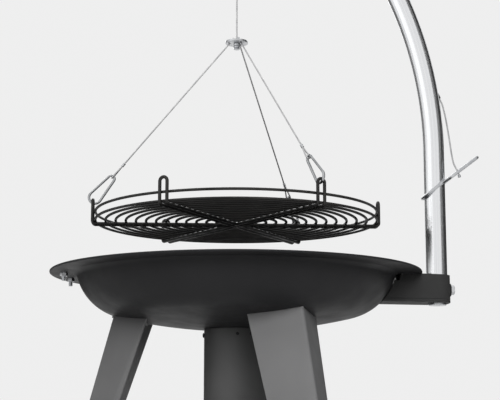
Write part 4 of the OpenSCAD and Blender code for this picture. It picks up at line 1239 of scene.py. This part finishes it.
# %% Three wires with their eyes and sleeves
EYE_R, EYE_STEPS = HOOK_R + CABLE_R + 0.0004, 16
EYE_Z = SMALL_Z + SMALL_R - HOOK_R - CABLE_R - 2 * SEAT + EYE_R
EYE_LONG, SIDE_SHARE, PAST_HANGER, ABOVE_EYE = 0.025, 0.4, 0.0118, 0.014
EYE_TOP = EYE_Z + EYE_LONG
SIDE = SIDE_SHARE * CABLE_R
SLEEVE_R, SLEEVE_HOLE = CABLE_R + 0.0012, CABLE_R + SEAT / 2
LOW_LONG, HIGH_LONG, OVER_PLATE = 0.008, 0.006, 0.004
eye_angles = [-HALF * i / EYE_STEPS for i in range(EYE_STEPS + 1)]
bow = [(EYE_R * math.cos(a), EYE_Z + EYE_R * math.sin(a)) for a in eye_angles]
near_side = [(SIDE, EYE_TOP + 0.008), (SIDE, EYE_TOP)]
far_side = [(-SIDE, EYE_TOP), (-SIDE, EYE_TOP + 0.003)]
eye_points = near_side + bow + far_side
straight = [(0, 0, HANG_LEN + PAST_HANGER), (0, 0, EYE_TOP + ABOVE_EYE)]
wire = stranded("wire", straight + [(0, y, z) for y, z in eye_points])
hangers = [on_hanger(turn) for turn in HOOK_TURNS.values()]
set_out("wire_set", wire, hangers, strand_steel, "cable_steel", "wires", body="grate")
high_z = HANG_LEN + OVER_PLATE / math.cos(HANG_TILT) + SLEEVE_R * math.tan(HANG_TILT)
sleeves = []
for end, length, z in (("low", LOW_LONG, EYE_TOP), ("high", HIGH_LONG, high_z)):
    part = turned(end + "_sleeve", sleeve(SLEEVE_R, length, SLEEVE_HOLE, 1), 40)
    sleeves += [copied(part, f"{end}_{i}", p @ lift(z)) for i, p in enumerate(hangers)]
    discard(part)
dress(joined("wire_sleeves", *sleeves), zinc, "grate", "zinc", "wire_ferrules")
print("wires:", round(HANG_LEN, 3), "m from the grate's eye to the plate")

# %% [markdown]
# ## Clamp lever and tail
# A lever holds the cable's end: a bright rod bent round the tube, whose two legs are drawn together
# with the cable between them. It tilts and grips the tube by the grate's weight. Its line is one
# leg, the round end, the other leg as a mirror, and the bow round the back of the tube.

# %% Bend the lever
LEVER_ROD, LEVER_SLOPE, LEVER_Z, LEVER_LEN = 0.003, math.radians(37), RIM_Z + 0.163, 0.108
BEND_FROM, BEND_TO, LEVER_BEND = 0.014, 0.038, 0.008
TURN_R = POLE_R + 0.00025 + LEVER_ROD
BOW_X = TURN_R - TURN_R / math.cos(LEVER_SLOPE)
PAIR = LEVER_ROD + CABLE_R + 0.0003
END_X = LEVER_LEN - PAIR - LEVER_ROD
END_STEPS, BOW_STEPS = 12, 28
corners = [(BOW_X, TURN_R, 0), (BEND_FROM, TURN_R, 0), (BEND_TO, PAIR, 0), (END_X, PAIR, 0)]
leg_line = bent(corners, LEVER_BEND)
end_angles = [HALF * i / END_STEPS for i in range(1, END_STEPS)]
bow_angles = [HALF * i / BOW_STEPS for i in range(1, BOW_STEPS)]
round_end = [(END_X + PAIR * math.sin(a), PAIR * math.cos(a), 0) for a in end_angles]
back = [Vector((p.x, -p.y, 0)) for p in leg_line[::-1]]
bow = [(BOW_X - TURN_R * math.sin(a), -TURN_R * math.cos(a), 0) for a in bow_angles]
lever = rod("lever", leg_line + round_end + back + bow, LEVER_ROD, closed=True, fineness=6)
lever_place = moved_to(POLE_X, 0, LEVER_Z) @ turned_by(-LEVER_SLOPE, "Y")
set_out("lever_bent_rod", lever, [lever_place], zinc, "zinc", "clamp_lever", body="lever")

# %% [markdown]
# The cable's tail leaves the tube at the bush, hangs slack and ends under the lever in a stop. The
# photograph gives its curve as a few points, and a smooth spline is laid through them. The lever
# slides down when the grate goes up.

# %% Lay the tail and its stop
LEVER_HOLD, SPLINE_STEPS, MM = 0.058, 12, 0.001
exit_x, exit_z = OUTER_BEND * math.cos(EXIT_TURN), OUTER_BEND * math.sin(EXIT_TURN)
hold_x, hold_z = LEVER_HOLD * math.cos(LEVER_SLOPE), LEVER_HOLD * math.sin(LEVER_SLOPE)
EXIT = Vector((BEND_C.x + exit_x, 0, BEND_C.z + exit_z))
HOLD = Vector((POLE_X + hold_x, 0, LEVER_Z + hold_z))
from_exit = (-2.1, 4.5), (0, 0), (5.5, -12), (9, -26), (13, -47), (18, -83)
from_hold = (-9, 20), (0, 0), (1.5, -6), (3, -12)
knots = [EXIT + Vector((x, 0, z)) * MM for x, z in from_exit]
knots += [HOLD + Vector((x, 0, z)) * MM for x, z in from_hold]


def spline_point(a, b, c, d, u):
    """A point between b and c on a smooth curve through a, b, c and d."""
    slope, pull, twist = c - a, 2 * a - 5 * b + 4 * c - d, 3 * b - a - 3 * c + d
    return 0.5 * (2 * b + slope * u + pull * u * u + twist * u**3)


tail_line = [
    spline_point(*knots[k : k + 4], i / SPLINE_STEPS)
    for k in range(len(knots) - 3) for i in range(SPLINE_STEPS)
]
tail = stranded("cable_tail_strands", tail_line + [knots[-2]])
tail.data.materials.append(strand_steel)
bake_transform(tail)
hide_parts("cable_tail")
print("tail: ends", round((EXIT - HOLD).length, 3), "m apart")
down_tail = moved_to(*knots[-2]) @ turned_by(math.atan2(1.5, -6), "Y")
seated(
    "tail_stop_sleeve", sleeve(0.003, 0.005, 0.0, 1, SEAT), down_tail,
    zinc, "lever", "zinc", "tail_stop", steps=48,
)

# %% [markdown]
# ## Stage, light and camera
# The floor is plain and pale. Near the grill it takes light and shadow as paper does, and further
# out it fades into the backdrop's own grey, so that no horizon shows. That grey is only for what
# the camera sees, straight or in a mirror. It puts no light on the grill.

# %% Floor
BACKDROP = (0.86, 0.86, 0.86, 1)
PAPER = (0.80, 0.80, 0.80, 1)
FADE = {"From Min": 0.5, "From Max": 2.2, "To Min": 0.45, "To Max": 1.0}
FLOOR_SIZE = 24


def seen_rays(tree):
    """1 for what the camera sees, straight, in a mirror or through glass."""
    path = added(tree, "LightPath", {})
    seen_by = path.outputs["Is Camera Ray"]
    for ray in ("Is Glossy Ray", "Is Transmission Ray"):
        either = added(tree, "Math", {}, seen_by, path.outputs[ray], operation="MAXIMUM")
        seen_by = either.outputs[0]
    return seen_by


def mixed(tree, factor, first, second, end):
    """Two shaders mixed by a factor, and plugged into the tree's output."""
    mix = added(tree, "MixShader", {}, factor, first, second)
    tree.links.new(mix.outputs[0], tree.nodes[end].inputs["Surface"])


bpy.ops.mesh.primitive_plane_add(size=FLOOR_SIZE, location=(0, 0, 0))
floor = settle(bpy.context.object, "floor")
floor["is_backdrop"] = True
floor_mat, tree, paper = new_material("pale floor")
preset(paper, {"Base Color": PAPER, "Roughness": 0.9, "Specular IOR Level": 0.0})
glow = added(tree, "Emission", {"Color": BACKDROP})
coords = added(tree, "TexCoord", {})
reach = added(tree, "VectorMath", {}, coords.outputs["Object"], operation="LENGTH")
fade = added(tree, "MapRange", FADE, reach.outputs["Value"], interpolation_type="SMOOTHERSTEP")
share = added(tree, "Math", {}, fade.outputs["Result"], seen_rays(tree), operation="MULTIPLY")
mixed(tree, share.outputs[0], paper.outputs[0], glow.outputs[0], "Material Output")
floor.data.materials.append(floor_mat)
print("floor:", FLOOR_SIZE, "m wide")

# %% [markdown]
# The world does two jobs. To the camera and to mirrors it is the same pale grey as the backdrop.
# To everything else it is a weak white light from all round, which fills the shadows.

# %% World
WORLD_LIGHT = 0.23
world = bpy.data.worlds.new("studio")
bpy.context.scene.world = world
world.use_nodes = True
tree = world.node_tree
lighting = preset(tree.nodes["Background"], {"Color": (1, 1, 1, 1), "Strength": WORLD_LIGHT})
seen = added(tree, "Background", {"Color": BACKDROP, "Strength": 1.0})
mixed(tree, seen_rays(tree), lighting.outputs[0], seen.outputs[0], "World Output")
print("world:", WORLD_LIGHT, "of white")

# %% [markdown]
# The photograph's main light comes from the camera's side and leaves the bowl's underside dark. One
# large soft light stands there, a little above the grill. A weak one fills the left, and one from
# behind and above draws the far rim. The first two aren't mirrored in the tube, because the cards
# below draw its bright and dark bands.

# %% Lamps
def aimed(place, aim, axis):
    """The turn that points an object's axis from its place to its aim."""
    return (Vector(aim) - Vector(place)).to_track_quat(axis, "Y").to_euler()


def softbox(name, place, aim, size, power, mirrored):
    data = bpy.data.lights.new(name, "AREA")
    data.shape, data.size, data.size_y, data.energy = "RECTANGLE", *size, power
    lamp = new_object(name, data)
    lamp.location = place
    lamp.rotation_euler = aimed(place, aim, "-Z")
    lamp.visible_glossy = mirrored
    print(name, "light:", power, "W")


for name, place, aim, size, power, mirrored in (
    ("key", (0.3, -3.2, 1.7), (0.05, 0, 0.6), (1.6, 1.6), 105, False),
    ("fill", (-2.8, -1.6, 1.2), (0, 0, 0.6), (1.2, 2.0), 2, False),
    ("back", (-0.4, 2.6, 2.4), (0, 0, 0.7), (2.2, 1.2), 26, True),
):
    softbox(name, place, aim, size, power, mirrored)

# %% [markdown]
# A polished tube only shows what stands around it. The photograph's tube is white on the left and
# dark at its right edge. One white card and dark and grey ones, which only mirrors see, give it
# those bands. Two more stand behind the grill, so that the bowl's side doesn't mirror the pale
# backdrop at a glancing angle.

# %% Cards beside the tube
def card(name, place, aim, size, grey, glow=0.0):
    bpy.ops.mesh.primitive_plane_add(size=1, location=place)
    obj = bpy.context.object
    obj.rotation_euler = aimed(place, aim, "Z")
    obj.scale = (*size, 1)
    settle(obj, name)
    obj.visible_camera = obj.visible_diffuse = False
    obj.visible_shadow = obj.visible_transmission = False
    mat, tree, shader = new_material(name)
    preset(shader, {"Base Color": (grey, grey, grey, 1), "Roughness": 1.0})
    preset(shader, {"Emission Color": (1, 1, 1, 1), "Emission Strength": glow})
    obj.data.materials.append(mat)
    obj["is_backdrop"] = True
    print(name, "of", size, "m")


TUBE = (POLE_X, 0, 1.0)
card("right card", (2.1, 0.55, 1.2), TUBE, (1.5, 4.0), 0.05)
card("right shade", (2.5, -0.75, 1.2), TUBE, (1.5, 4.0), 0.30)
card("left card", (-2.2, 1.6, 1.4), TUBE, (1.6, 4.0), 0.30)
card("white card", (-2.3, -1.7, 1.5), TUBE, (2.6, 4.0), 0.0, glow=1.16)
card("back left card", (-1.9, 2.3, 0.8), (-0.2, 0, 0.8), (2.0, 1.6), 0.06)
card("back right card", (1.8, 2.3, 0.8), (0.2, 0, 0.8), (1.9, 1.6), 0.03)

# %% [markdown]
# The camera was matched to the photograph by the bowl's rim, the grate's rings and the tube. It
# stands low in front and looks up by ten degrees, so that the bowl's underside shows.

# %% Camera, matched to the photograph
FRAME_W, FOCAL_PX, SENSOR = 500, 1252.3, 36
LOOK_UP, ROLL, PAN = 0.1750, -0.0005, -0.0075
camera_data = bpy.data.cameras.new("camera")
camera = new_object("camera", camera_data)
camera.location = (0.00864, -2.36295, 0.32427)
camera.rotation_euler = (QUARTER + LOOK_UP, ROLL, PAN)
camera_data.sensor_width = SENSOR
camera_data.lens = SENSOR * FOCAL_PX / FRAME_W
camera_data.clip_start, camera_data.clip_end = 0.05, 60
bpy.context.scene.camera = camera
bpy.context.scene.view_settings.view_transform = "Standard"
print("lens:", round(camera_data.lens, 1), "mm")

# %% [markdown]
# The finished grill has to stay inside the box of its solids, so both boxes are kept and compared.

# %% Measure the dressed grill against its solids and finish
visual_box = [list(corner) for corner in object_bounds()]
for end, cad_end, visual_end in zip(("low", "high"), cad_box, visual_box):
    grown = [round((v - c) * 1000, 2) for v, c in zip(visual_end, cad_end)]
    print(end, "corner moved by", grown, "mm")
